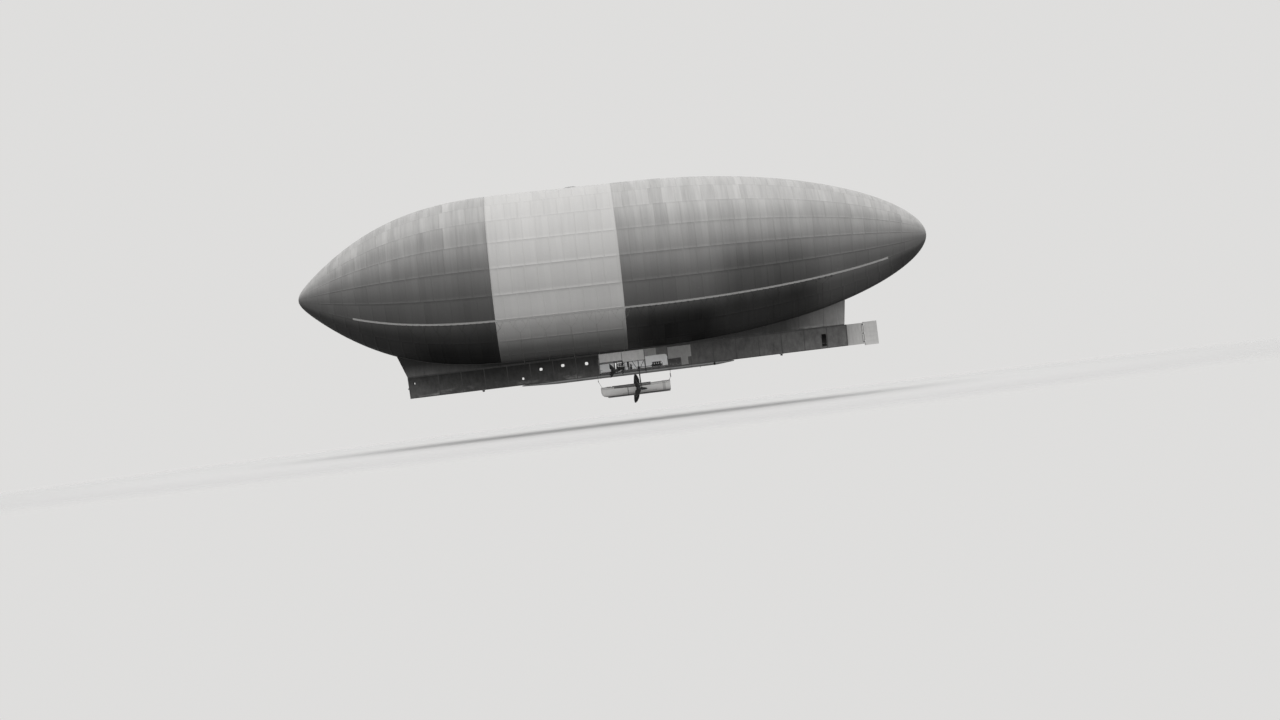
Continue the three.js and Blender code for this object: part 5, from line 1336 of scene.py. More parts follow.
# the fabric pipe up to the air bag, held open by hoops
s = Shape()
z0, z1 = -5.521, float(belly(-0.670, 0.160)) - 0.022
n = 180
zs = np.linspace(z0, z1, n)
hoops = np.arange(z0 + 0.03, z1, 0.062)
rr = []
for z in zs:
    d = np.min(np.abs(hoops - z))
    edge = min(z - z0, z1 - z)
    rr.append(0.0615 - 0.0075 * math.sin(min(d / 0.031, 1) * math.pi / 2) ** 1.2 + (0.001 if edge < 0.02 else 0))
a = np.arange(36) * 2 * math.pi / 36
rings = [np.stack([-0.670 + (r + 0.0008 * np.sin(5 * a + z * 60)) * np.cos(a), -0.090 + (r + 0.0008 * np.sin(5 * a + z * 60)) * np.sin(a), np.full(36, z)], -1) for r, z in zip(rr, zs)]
s.rings(np.array(rings))
for z in (z0 + 0.022, z1 - 0.02):
    s.lathe([(0.061, -0.006), (0.0645, -0.005), (0.0645, 0.005), (0.061, 0.006)], (-0.670, -0.090, z), (0, 0, 1), 36, mat=1)
place(s, "air_duct_cloth", [CANVAS_DARK, STEEL_BARE], "airship", ["air_duct"])

# radiator: tubes and fins between two tanks
s = Shape()
x0, x1 = -3.520, -2.990
s.box((x0, -0.130, -5.640), (x0 + 0.030, 0.130, -5.440), 0.006)
s.box((x1 - 0.030, -0.130, -5.640), (x1, 0.130, -5.440), 0.006)
s.box((x0 + 0.02, -0.130, -5.458), (x1 - 0.02, 0.130, -5.440), 0.004)
s.box((x0 + 0.02, -0.130, -5.640), (x1 - 0.02, 0.130, -5.622), 0.004)
for i in range(58):
    x = x0 + 0.034 + i * (x1 - x0 - 0.068) / 57
    s.box((x - 0.0011, -0.122, -5.624), (x + 0.0011, 0.122, -5.456), 0, 1)
for i in range(5):
    for j in range(6):
        y = -0.10 + j * 0.04
        z = -5.605 + i * 0.033
        s.rod((x0 + 0.026, y, z), (x1 - 0.026, y, z), 0.005, 8, mat=2)
s.box((-3.410, -0.040, -5.445), (-3.100, 0.040, -5.402), 0.010)
s.lathe([(0.022, 0), (0.022, 0.006), (0.018, 0.008), (0.018, 0.014), (0.006, 0.016)], (-3.255, 0, -5.412), (0, 0, 1), 20, mat=2)
for x in (-3.14, -3.37):
    s.tube([(x, 0.030, -5.42), (x, 0.062, -5.425), (x, 0.075, -5.45)], 0.010, 12, mat=3)
for sx in (x0 + 0.012, x1 - 0.012):
    for sy in (-1, 1):
        s.box((sx - 0.012, sy * 0.118 - 0.012, -5.652), (sx + 0.012, sy * 0.118 + 0.012, -5.636), 0.003)
        s.bolt((sx, sy * 0.1305, -5.600), (0, sy, 0), 0.006, 0.005, 2)
        s.bolt((sx, sy * 0.1305, -5.480), (0, sy, 0), 0.006, 0.005, 2)
place(s, "radiator_core", [metal("radiator shell", 0.10, 0.45, 0.7, 0.3, 0.2), metal("radiator fins", 0.05, 0.6, 0.5), BRASS, metal("water hose", 0.02, 0.8, 0.0)], "airship", ["radiator"])

# engine bearers: two long timbers on cross pieces
s = Shape()
for sy in (-1, 1):
    s.box((-2.840, sy * 0.070, -5.752), (0.860, sy * 0.096, -5.700), 0.004)
for x in (0.700, 0.330, -0.420, -1.000, -1.700, -2.790):
    s.box((x - 0.014, -0.128, -5.740), (x + 0.014, 0.128, -5.712), 0.004)
    for sy in (-1, 1):
        s.bolt((x, sy * 0.083, -5.700), (0, 0, 1), 0.007, 0.006, 1)
        s.bolt((x, sy * 0.1275, -5.726), (0, sy, 0), 0.005, 0.003, 1)
for x in np.arange(-2.6, 0.8, 0.42):
    for sy in (-1, 1):
        s.lathe([(0.010, 0), (0.010, 0.002), (0.005, 0.004)], (x, sy * 0.0955, -5.726), (0, sy, 0), 12, mat=1)
place(s, "engine_bed_timbers", [timber("engine bearers", 0.10, "X", 0.65, 0.3), STEEL_BARE], "airship", ["engine_bed"])

# plank floors
for name, fore, aft in (("floor_fore", CAR_FORE - 0.060, 0.760), ("floor_aft", -3.620, CAR_AFT + 0.060)):
    s = Shape()
    z = -5.560
    boards = 4
    w = 0.370 / boards
    for b in range(boards):
        y0 = -0.185 + b * w
        joints = [fore] + [x for i, x in enumerate(STATIONS[::-1]) if aft + 0.4 < x < fore - 0.4 and (i + b) % 2 == 0] + [aft]
        for p, q in zip(joints, joints[1:]):
            s.box((q + 0.0015, y0 + 0.002, z - 0.016), (p - 0.0015, y0 + w - 0.002, z), 0.0025)
            for x in (p - 0.03, q + 0.03):
                for dy in (0.02, w - 0.02):
                    s.lathe([(0.004, 0), (0.004, 0.0012), (0.002, 0.0016)], (x, y0 + dy, z - 0.0002), (0, 0, 1), 8, mat=1)
    half = chord_y(z - 0.024) - 0.015 * 1.1 - 0.005
    for x in STATIONS:
        if aft + 0.06 < x < fore - 0.06:
            s.box((x - 0.014, -half, z - 0.036), (x + 0.014, half, z - 0.0155), 0.003)
    place(s, name + "_boards", [WOOD, STEEL_BARE], "airship", [name])


# ---------------------------------------------------------------- shafts, outrigger and hanger
def ring_lathe(s, profile, origin, axis, n=28, mat=0):
    """A ring with a hole: the profile closes on itself."""
    axis = np.array(axis, float) / np.linalg.norm(axis)
    ref = np.array([0, 0, 1.0]) if abs(axis[2]) < 0.9 else np.array([1.0, 0, 0])
    u = np.cross(axis, ref)
    u /= np.linalg.norm(u)
    v = np.cross(axis, u)
    a = np.arange(n) * 2 * math.pi / n
    rings = [np.array(origin, float) + axis * t + r * (np.outer(np.cos(a), u) + np.outer(np.sin(a), v)) for r, t in profile]
    return s.rings(np.array(rings), mat, loop=True)


def gear_case(s, lo, hi, mat=0, bolt_mat=1, axes=((0, 1, 0), (0, -1, 0))):
    lo, hi = np.minimum(lo, hi), np.maximum(lo, hi)
    c = (lo + hi) / 2
    s.box(lo, hi, 0.014, mat)
    for ax in axes:
        ax = np.array(ax, float)
        face = c + ax * (hi - lo) / 2
        r = min((hi - lo)[[i for i in range(3) if abs(ax[i]) < 0.5]]) / 2 * 0.86
        s.lathe([(r, -0.006), (r, 0.003), (r * 0.7, 0.005), (r * 0.62, 0.009), (0.020, 0.010)], face, ax, 24, mat)
        u = np.array([0, 0, 1.0]) if abs(ax[2]) < 0.5 else np.array([1.0, 0, 0])
        v = np.cross(ax, u)
        for k in range(6):
            q = k * math.pi / 3 + 0.3
            s.bolt(face + ax * 0.003 + (u * math.cos(q) + v * math.sin(q)) * r * 0.85, ax, 0.004, 0.004, bolt_mat)


HX = -1.230
s = Shape()
s.rod((-1.935, 0, -5.640), (HX - 0.05, 0, -5.640), 0.0165, 20, mat=1)
for x in (-1.925, -1.62, -1.36):
    s.lathe([(0.017, -0.022), (0.026, -0.020), (0.026, -0.007), (0.034, -0.006), (0.034, 0.006), (0.026, 0.007), (0.026, 0.020), (0.017, 0.022)] if x != -1.925 else [(0.017, -0.009), (0.036, -0.008), (0.036, 0.010), (0.024, 0.011), (0.024, 0.026), (0.017, 0.028)], (x, 0, -5.640), (1, 0, 0), 24, mat=0)
    for k in range(6):
        q = k * math.pi / 3
        s.bolt((x + 0.006, 0.029 * math.cos(q), -5.640 + 0.029 * math.sin(q)), (1, 0, 0), 0.0035, 0.005, 1)
gear_case(s, np.array([HX - 0.060, -0.070, -5.698]), np.array([HX + 0.060, 0.070, -5.592]), axes=((0, 1, 0), (0, -1, 0), (1, 0, 0), (0, 0, 1)))
place(s, "drive_shaft_works", [STEEL, STEEL_BARE], "airship", ["drive_shaft"])

FORE = (0.257, 1.400, -5.645)
s = Shape()
OX = 0.020
s.rod((OX, -FORE[1], FORE[2]), (OX, FORE[1], FORE[2]), 0.0225, 20)
gear_case(s, np.array([OX - 0.032, -0.066, -5.698]), np.array([OX + 0.060, 0.066, -5.592]), axes=((0, 1, 0), (0, -1, 0), (1, 0, 0), (0, 0, 1)))
s.rod((-0.029, 0, -5.645), (OX, 0, -5.645), 0.018, 16, mat=1)
for sy in (-1, 1):
    hub = np.array([OX, sy * FORE[1], FORE[2]])
    # bearing housing of the propeller's shaft, with a flanged gear box
    s.lathe([(0.030, -0.050), (0.040, -0.046), (0.044, -0.036), (0.044, -0.012), (0.052, -0.008), (0.052, 0.004), (0.042, 0.010), (0.039, 0.120), (0.0435, 0.126), (0.0435, 0.150), (0.038, 0.160), (0.024, 0.164), (0.022, 0.1835)], hub, (1, 0, 0), 28)
    for k in range(8):
        q = k * math.pi / 4
        s.bolt(hub + (0.004, 0.047 * math.cos(q), 0.047 * math.sin(q)), (1, 0, 0), 0.004, 0.005, 1)
    for y in (0.16, 0.62, 1.10):
        s.lathe([(0.0225, -0.012), (0.029, -0.010), (0.029, 0.010), (0.0225, 0.012)], (OX, sy * y, FORE[2]), (0, 1, 0), 20)
    s.lathe([(0.0225, 0.06), (0.034, 0.05), (0.036, 0.02)], hub, (0, -sy, 0), 20)
    for x, z, r in ((OX - 0.055, -5.290, 0.010), (OX - 0.055, -5.800, 0.010), (BAY_0 - BAY, -5.330, 0.009), (BAY_0 - BAY, -5.780, 0.009)):
        p = np.array([x, sy * (chord_y(z) + 0.015 * 1.1 + 0.010), z])
        s.rod(hub, p, r, 12)
        d = (hub - p) / np.linalg.norm(hub - p)
        s.lathe([(0.006, -0.004), (0.010, 0.0), (0.0135, 0.010), (0.0135, 0.046), (r, 0.054)], p, d, 12)
        s.lathe([(r, 0.060), (0.0135, 0.066), (0.0135, 0.100), (r, 0.106)], hub, -d, 12)
place(s, "outrigger_forward_works", [STEEL, STEEL_BARE], "airship", ["outrigger_forward"])

s = Shape()
BEAM_Z, AXIS_Z, LEG_Y = -6.048, -6.813, 0.535
s.rod((HX, -LEG_Y - 0.018, BEAM_Z), (HX, LEG_Y + 0.018, BEAM_Z), 0.020, 20, chamfer=0.003)
for sy in (-1, 1):
    leg = lambda z: np.array([HX, sy * LEG_Y, z])
    s.rod(leg(BEAM_Z + 0.016), leg(AXIS_Z + 0.050), 0.018, 18)
    s.rod((HX, sy * 0.165, BEAM_Z), (HX, sy * 0.165, -5.866), 0.014, 16)
    a, b = np.array([HX, sy * 0.165, BEAM_Z]), leg(-6.400)
    s.rod(a, b, 0.011, 14)
    # sleeves at the joints
    s.lathe([(0.021, -0.045), (0.026, -0.041), (0.026, 0.020)], leg(BEAM_Z), (0, 0, 1), 18)
    s.lathe([(0.020, -0.034), (0.0255, -0.032), (0.0255, 0.032), (0.020, 0.034)], (HX, sy * 0.165, BEAM_Z), (0, 1, 0), 18)
    s.lathe([(0.018, -0.040), (0.0225, -0.037), (0.0225, 0.037), (0.018, 0.040)], leg(-6.400), (0, 0, 1), 18)
    s.lathe([(0.014, 0), (0.018, 0.003), (0.018, 0.034), (0.014, 0.037)], (HX, sy * 0.165, -5.903), (0, 0, 1), 16)
    s.box((HX - 0.034, sy * 0.165 - 0.026, -5.876), (HX + 0.034, sy * 0.165 + 0.026, -5.866), 0.003)
    for dx in (-0.024, 0.024):
        s.bolt((HX + dx, sy * 0.165 + 0.014 * sy, -5.876), (0, 0, -1), 0.006, 0.006, 1)
    s.lathe([(0.018, 0.100), (0.023, 0.094), (0.023, 0.066), (0.034, 0.056)], leg(AXIS_Z), (0, 0, 1), 18)
    # split bearing with its cap bolts
    ring_lathe(s, [(0.0345, -0.024), (0.054, -0.024), (0.058, -0.019), (0.058, 0.019), (0.054, 0.024), (0.0345, 0.024)], leg(AXIS_Z), (0, 1, 0), 36)
    for dx in (-1, 1):
        s.box((HX + dx * 0.046, sy * LEG_Y - 0.016, AXIS_Z - 0.016), (HX + dx * 0.0578, sy * LEG_Y + 0.016, AXIS_Z + 0.016), 0.003)
        s.rod((HX + dx * 0.0525, sy * LEG_Y, AXIS_Z - 0.024), (HX + dx * 0.0525, sy * LEG_Y, AXIS_Z + 0.026), 0.004, 10, mat=1)
        s.bolt((HX + dx * 0.0525, sy * LEG_Y, AXIS_Z + 0.017), (0, 0, 1), 0.0065, 0.005, 1)
    s.lathe([(0.008, 0), (0.008, 0.010), (0.005, 0.014), (0.002, 0.015)], (HX, sy * LEG_Y, AXIS_Z - 0.056), (0, 0, -1), 10, mat=2)
place(s, "swivel_hanger_tubes", [STEEL_DARK, STEEL_BARE, BRASS], "airship", ["swivel_hanger"])


# ---------------------------------------------------------------- swivelling arms and propellers
REST = math.radians(6)


def swivel_frame(side):
    c, n = math.cos(REST), math.sin(REST)
    basis = np.array([[c, 0, -n], [0, 1, 0], [n, 0, c]])
    return basis, np.array([HX, side * 1.400, AXIS_Z])


# distance from the hub, chord, angle from the disc, thickness, how far forward of the disc
BLADE_ROWS = np.array([
    (0.040, 0.092, 68, 0.044, 0), (0.075, 0.186, 71, 0.040, 0), (0.130, 0.272, 69, 0.034, -0.010),
    (0.240, 0.350, 62, 0.027, -0.022), (0.380, 0.392, 54, 0.020, -0.028), (0.520, 0.392, 48, 0.016, -0.018),
    (0.650, 0.340, 43, 0.012, 0.006), (0.745, 0.240, 40, 0.009, 0.026), (0.800, 0.090, 38, 0.007, 0.046),
])


def propeller_mesh(hand, angle, basis, origin):
    """Two-bladed screw turning about X: a laminated boss, blades with a rounded tip, hub plates and bolts."""
    s = Shape()
    rad = np.concatenate([np.linspace(0.040, 0.13, 8), np.linspace(0.13, 0.70, 30)[1:], 0.70 + 0.099 * np.sin(np.linspace(0, math.pi / 2, 14))[1:]])
    cols = [np.interp(rad, BLADE_ROWS[:, 0], BLADE_ROWS[:, k]) for k in (1, 2, 3, 4)]
    # smooth the table
    for _ in range(2):
        for c in cols:
            c[1:-1] = (c[:-2] + 2 * c[1:-1] + c[2:]) / 4
    cols[0][-1] *= 0.55
    cols[0][:2] = BLADE_ROWS[0, 1]
    ph = np.arange(28) * 2 * math.pi / 28
    u = -0.5 * np.cos(ph)
    wv = np.where(np.sin(ph) > 0, 0.47, 0.28) * np.sin(ph)
    q = math.radians(angle)
    rx = np.array([[1, 0, 0], [0, math.cos(q), -math.sin(q)], [0, math.sin(q), math.cos(q)]])

    def send(p):
        return (np.asarray(p) @ rx.T) @ basis.T + origin

    for turn in (1, -1):
        rings = []
        for r, chord, ang, thick, fwd in zip(rad, *cols):
            a = math.radians(ang) * hand
            c = np.array([math.sin(a), math.cos(a), 0])
            n = np.array([-math.cos(a), math.sin(a), 0])
            p = np.array([fwd, 0, r]) + np.outer(u * chord, c) + np.outer(wv * thick, n)
            if turn < 0:
                p = p * np.array([1, -1, -1])
            rings.append(send(p))
        s.rings(rings)
        # sheathed tip and leading edge
        rings = []
        for r, chord, ang, thick, fwd in list(zip(rad, *cols))[-15:]:
            a = math.radians(ang) * hand
            c = np.array([math.sin(a), math.cos(a), 0])
            n = np.array([-math.cos(a), math.sin(a), 0])
            uu = np.clip(u, 0.30, 0.5) if hand > 0 else np.clip(u, -0.5, -0.30)
            p = np.array([fwd, 0, r]) + np.outer(uu * chord * 1.004, c) + np.outer(wv * thick * 1.16 + np.sign(wv) * 0.0004, n)
            if turn < 0:
                p = p * np.array([1, -1, -1])
            rings.append(send(p))
        s.rings(rings, mat=1)
    ax = send((1, 0, 0)) - origin
    boss = [(0.020, -0.048), (0.052, -0.046), (0.058, -0.038), (0.058, 0.038), (0.052, 0.046), (0.020, 0.048)]
    s.lathe(boss, origin, ax, 40)
    s.lathe([(0.018, -0.0485), (0.046, -0.0485), (0.046, -0.0425)], origin, ax, 32, mat=2)
    s.lathe([(0.046, 0.0425), (0.046, 0.0500), (0.030, 0.0515), (0.026, 0.064), (0.018, 0.074), (0.008, 0.0835), (0.002, 0.084)], origin, ax, 32, mat=2)
    for k in range(6):
        w = k * math.pi / 3 + 0.3
        p = send((0.0500, 0.038 * math.cos(w), 0.038 * math.sin(w)))
        s.bolt(p, ax, 0.005, 0.005, 3)
    return s


for side, word, hand, angle in ((1, "port", 1, 66), (-1, "starboard", -1, 114)):
    s = propeller_mesh(hand, angle, np.eye(3), np.array([FORE[0], side * FORE[1], FORE[2]]))
    place(s, "propeller_fore_%s_blades" % word, [BLADE, metal("blade sheath %s fore" % word, 0.05, 0.5, 0.6), STEEL_DARK, STEEL_BARE], "fore_propeller_" + word, ["propeller_fore_" + word], sharp=45)
for side, word, hand, angle in ((1, "port", 1, 57), (-1, "starboard", -1, -6)):
    basis, origin = swivel_frame(side)
    hub = origin + basis @ np.array([0.247, 0, 0])
    s = propeller_mesh(hand, angle, basis, hub)
    place(s, "propeller_swivel_%s_blades" % word, [BLADE, metal("blade sheath %s swivel" % word, 0.05, 0.5, 0.6), STEEL_DARK, STEEL_BARE], "swivel_propeller_" + word, ["propeller_swivel_" + word], sharp=45)
    s = Shape()

    def loc(x, y, z):
        return basis @ np.array([x, y, z]) + origin

    yi = side * (LEG_Y - 0.034 - 1.400)
    s.rod(loc(0, yi, 0), loc(0, -side * 0.05, 0), 0.0315, 28, chamfer=0.002)
    d = np.array([0, side, 0])
    for y0, r in ((LEG_Y - 0.048, 0.044), (LEG_Y + 0.030, 0.048)):
        w = 0.018 if r < 0.046 else 0.024
        p = loc(0, side * (y0 - 1.400), 0)
        s.lathe([(r - 0.004, 0), (r, 0.003), (r, w - 0.003), (r - 0.004, w)], p, d, 32, mat=0)
    # worm wheel that turns the arm
    p = loc(0, side * (LEG_Y + 0.060 - 1.400), 0)
    n = 40
    a = np.arange(n * 2) * math.pi / n
    rr = np.where(np.arange(n * 2) % 2 == 0, 0.060, 0.0555)
    rings = []
    for t, k in ((0, 0.7), (0.002, 1), (0.016, 1), (0.018, 0.7)):
        rings.append(p + d * t + np.outer(rr * k * np.cos(a), basis @ np.array([1, 0, 0])) + np.outer(rr * k * np.sin(a), basis @ np.array([0, 0, 1])))
    s.rings(rings, mat=1)
    for y in (0.80, 1.05, 1.22):
        s.lathe([(0.0315, -0.010), (0.037, -0.008), (0.037, 0.008), (0.0315, 0.010)], loc(0, side * (y - 1.400), 0), (0, 1, 0), 28)
    # bevel gear box: a rounded case with a flange, an end cover and the shaft's housing
    prof = [(0.002, -0.082), (0.030, -0.080)] + [(0.080 * math.cos(t), 0.080 * math.sin(t)) for t in np.radians(np.linspace(-62, 62, 13))] + [(0.030, 0.080), (0.002, 0.082)]
    s.lathe(prof, origin, (0, side, 0), 36)
    s.lathe([(0.078, -0.006), (0.0815, -0.005), (0.0815, 0.005), (0.078, 0.006)], origin, basis @ np.array([0, 0, 1.0]), 36)
    cone = [(0.070, 0.034), (0.0725, 0.038), (0.0725, 0.048), (0.068, 0.052)] + [(0.014 + 0.053 * math.cos(q), 0.054 + 0.226 * math.sin(q)) for q in np.radians(np.linspace(4, 84, 12))] + [(0.012, 0.288), (0.002, 0.2895)]
    s.lathe(cone, origin, basis @ np.array([-1.0, 0, 0]), 36)
    for k in range(8):
        w = (k + 0.5) * math.pi / 4
        s.bolt(loc(-0.0475, 0.0685 * math.cos(w), 0.0685 * math.sin(w)), basis @ np.array([-1.0, 0, 0]), 0.0035, 0.004, 1)
    s.lathe([(0.048, 0.068), (0.050, 0.074), (0.050, 0.080), (0.034, 0.084), (0.004, 0.085)], origin, (0, side, 0), 28)
    for k in range(6):
        w = k * math.pi / 3
        s.bolt(loc(0.043 * math.cos(w), side * 0.080, 0.043 * math.sin(w)), (0, side, 0), 0.0045, 0.004, 1)
    ax = basis @ np.array([1.0, 0, 0])
    s.lathe([(0.050, 0.050), (0.056, 0.062), (0.056, 0.076), (0.046, 0.084), (0.041, 0.100), (0.041, 0.160), (0.044, 0.166), (0.044, 0.182), (0.036, 0.190), (0.022, 0.1935)], origin, ax, 32)
    for k in range(8):
        w = k * math.pi / 4
        s.bolt(loc(0.0765, 0.050 * math.cos(w), 0.050 * math.sin(w)), ax, 0.004, 0.004, 1)
    s.lathe([(0.007, 0), (0.007, 0.010), (0.004, 0.016), (0.001, 0.017)], loc(0.13, 0, 0.040), basis @ np.array([0, 0, 1.0]), 10, mat=2)
    place(s, "swivel_arm_%s_works" % word, [STEEL_DARK, STEEL_BARE, BRASS], "swivel_" + word, ["swivel_arm_" + word])


# ---------------------------------------------------------------- lifeboat
BOAT_LINES = np.array([
    (0, 12, -6790, -6532), (0.012, 62, -6930, -6534), (0.035, 130, -7010, -6537), (0.08, 222, -7052, -6543),
    (0.16, 325, -7068, -6553), (0.3, 418, -7071, -6568), (0.5, 457, -7071, -6580), (0.7, 447, -7071, -6572),
    (0.86, 400, -7068, -6560), (0.96, 345, -7060, -6550), (1, 318, -7052, -6546),
]) * (1, 0.001, 0.001, 0.001)
BOAT_FORE, BOAT_LONG = 0.955, 3.795


def boat_x(t):
    return BOAT_FORE - BOAT_LONG * np.asarray(t, float)


def boat_line(t, k):
    return np.interp(t, BOAT_LINES[:, 0], BOAT_LINES[:, k])


def boat_ring(t, a, inwards=0.0):
    """Point of the hull's port side at length t and angle a (0 at the keel, pi/2 at the gunwale)."""
    h, lo, hi = boat_line(t, 1) - inwards, boat_line(t, 2) + inwards, boat_line(t, 3)
    y = np.maximum(h, 0.001) * np.sin(a) ** 0.72
    z = lo + (hi - lo) * (1 - np.cos(a) ** 1.25)
    return np.stack([boat_x(t) + 0 * y, y, z], -1)


T_BOAT = np.unique(np.concatenate([np.linspace(0, 0.012, 4), np.linspace(0.012, 0.08, 12), np.linspace(0.08, 1, 70)]))
s = Shape()
STRAKES = 10
for side in (1, -1):
    outer = []
    angles = []
    for k in range(STRAKES):
        a0, a1 = [0.02 + (math.pi / 2 - 0.02) * (q / STRAKES) ** 0.9 for q in (k, k + 1)]
        # each plank laps over the one below it
        for f, lift in ((0.0, 0.0045), (0.08, 0.0045), (0.5, 0.0030), (0.94, 0.0006), (0.999, 0.0002)):
            angles.append((a0 + (a1 - a0) * f, lift))
    A = np.array([a for a, _ in angles])[None, :]
    L = np.array([b for _, b in angles])[None, :]
    T = T_BOAT[:, None]
    p = boat_ring(T + 0 * A, A + 0 * T)
    d = boat_ring(T + 0 * A, np.minimum(A + 0.01, math.pi / 2) + 0 * T) - boat_ring(T + 0 * A, np.maximum(A - 0.01, 0.001) + 0 * T)
    n = np.stack([0 * d[..., 0], -d[..., 2], d[..., 1]], -1)
    n = -n / np.maximum(np.linalg.norm(n, axis=-1, keepdims=True), 1e-9)
    out_n = np.where(n[..., 1:2] < 0, -n, n)
    p = p + out_n * (L * smooth(boat_line(T, 1) / 0.12))[..., None]
    p[..., 1] = np.maximum(p[..., 1], 0.0015)
    p[..., 1] *= side
    s.sheet(p if side < 0 else p[::-1], 0.010)
# stem piece, sternpost and transom, keel
stem = []
for t in np.linspace(0, 0.11, 22):
    stem.append((float(boat_x(t)) + 0.012 * (1 - t / 0.11), 0.0, float(boat_line(t, 2)) - 0.006))
top = (BOAT_FORE + 0.010, 0.0, -6.532)
s.tube([top] + stem, [0.014] * (len(stem) + 1), 10, mat=1)
tr = boat_ring(1.0, np.linspace(0.02, math.pi / 2, 16))
ring = [(x - 0.002, y, z) for x, y, z in tr] + [(x - 0.002, -y, z) for x, y, z in tr[::-1]]
s.rings([[(x, y, z) for x, y, z in ring], [(x + 0.020, y * 0.985, z + (0.003 if z < -6.6 else 0)) for x, y, z in ring]])
for z in (-6.98, -6.88, -6.78, -6.68):
    hw = float(np.interp(z, tr[:, 2], tr[:, 1])) - 0.01
    s.beam((-2.8425, -hw, z), (-2.8425, hw, z), 0.006, 0.004, 0.001, mat=1)
s.box((-2.810, -0.016, -7.125), (float(boat_x(0.09)) + 0.02, 0.016, -7.062), 0.004, mat=1)
s.box((-2.806, -0.018, -7.129), (float(boat_x(0.10)), 0.018, -7.122), 0.001, mat=2)
# bilge keels
for side in (1, -1):
    pts = boat_ring(np.linspace(0.30, 0.80, 30), np.full(30, 0.62)) * (1, side, 1)
    s.tube(pts + np.array([0, side * 0.006, -0.006]), 0.009, 6, mat=1)
# rubbing strake, gunwale and a rope looped along it
for side in (1, -1):
    t = np.linspace(0.004, 1.0, 80)
    g = np.stack([boat_x(t), side * (boat_line(t, 1) + 0.007), boat_line(t, 3) - 0.016], -1)
    s.tube(g, 0.0125, 8, mat=1)
    g = np.stack([boat_x(t), side * (boat_line(t, 1) + 0.004), boat_line(t, 3) - 0.085], -1)
    s.tube(g, 0.0075, 8, mat=1)
    # nails along the planks' laps
    for k in (3, 5, 7, 8, 9):
        a = 0.02 + (math.pi / 2 - 0.02) * (k / STRAKES) ** 0.9 + 0.012
        for tt in np.linspace(0.08, 0.97, 44):
            c = boat_ring(tt, a)
            v = boat_ring(tt, a + 0.01) - boat_ring(tt, a - 0.01)
            nn = np.array([0, abs(v[2]), -abs(v[1])])
            nn /= max(np.linalg.norm(nn), 1e-9)
            s.lathe([(0.0035, 0), (0.0028, 0.0009)], (c + nn * 0.0044) * (1, side, 1), nn * (1, side, 1), 5, mat=2)
    # grab line in loops, held by small eyes
    eyes = np.linspace(0.10, 0.95, 16)
    for ta, tb in zip(eyes, eyes[1:]):
        tt = np.linspace(ta, tb, 9)
        drop = 0.045 * np.sin(np.pi * (tt - ta) / (tb - ta))
        z = boat_line(tt, 3) - 0.050 - drop
        y = np.array([float(boat_ring(q, math.acos(max(0, 1 - (zz - boat_line(q, 2)) / (boat_line(q, 3) - boat_line(q, 2))) ** 0.8))[1]) for q, zz in zip(tt, z)]) + 0.014
        s.tube(np.stack([boat_x(tt), side * y, z], -1), 0.0035, 6, mat=3)
    for tt in eyes:
        s.lathe([(0.008, 0), (0.008, 0.004), (0.004, 0.005), (0.004, 0.014), (0.007, 0.016), (0.003, 0.020)], (float(boat_x(tt)), side * (float(boat_line(tt, 1)) + 0.001), float(boat_line(tt, 3)) - 0.050), (0, side, 0), 8, mat=2)
# towing eye at the stem
s.lathe([(0.010, -0.004), (0.016, -0.002), (0.016, 0.002), (0.010, 0.004)], (BOAT_FORE - 0.010, 0, -6.60), (0, 1, 0), 12, mat=2)
# frames inside the open cockpit
for x in np.arange(0.26, -1.74, -0.20):
    t = (BOAT_FORE - x) / BOAT_LONG
    for side in (1, -1):
        a = np.linspace(0.10, 1.40, 12)
        p = boat_ring(np.full(12, t), a, 0.026) * (1, side, 1)
        s.tube(p, 0.006, 6, mat=1)
# canvas strap round the hull
for side in (1, -1):
    ts = (BOAT_FORE - np.array([-0.464, -0.512])[:, None]) / BOAT_LONG
    p = boat_ring(ts + np.zeros((1, 30)), np.linspace(0.04, math.pi / 2, 30)[None, :] + 0 * ts)
    p = (p + np.array([0, 0.0062, -0.004])) * (1, side, 1)
    s.sheet(p[::-1] if side > 0 else p, 0.003, mat=4)
place(s, "lifeboat_planks", [BOAT, BOAT_EDGE, BRASS, ROPE_LIGHT, HEM], "airship", ["lifeboat_hull"], sharp=30)

# decks fore and aft, side decks, coaming
s = Shape()


def deck_z(t, y):
    half = np.maximum(boat_line(t, 1), 0.01)
    crown = np.minimum(0.024, 0.08 * half)
    return boat_line(t, 3) - 0.001 + crown * (1 - np.clip(np.abs(y) / half, 0, 1) ** 2)


COCK = (0.340, -1.760, 0.262)
n_t, n_y = 150, 61
t = np.linspace(0.004, 0.998, n_t)[:, None]
v = np.linspace(-1, 1, n_y)[None, :]
yy = v * (boat_line(t, 1) - 0.006)
xx = boat_x(t) + 0 * yy
hole = (sum(COCK[:2]) / 2, 0.0, COCK[0] - COCK[1], COCK[2] * 2, 0.05)
XX, YY = xx.copy(), yy.copy()
gone = fit_hole(XX, YY, hole)
tt = (BOAT_FORE - XX) / BOAT_LONG
ZZ = deck_z(tt, YY)
seam = np.abs((YY / 0.045) % 1 - 0.5)
ZZ = ZZ - 0.0012 * np.clip((seam - 0.44) / 0.06, 0, 1)
g = np.stack([XX, YY, ZZ], -1)
s.sheet(g[::-1], 0.012, ~gone[::-1])
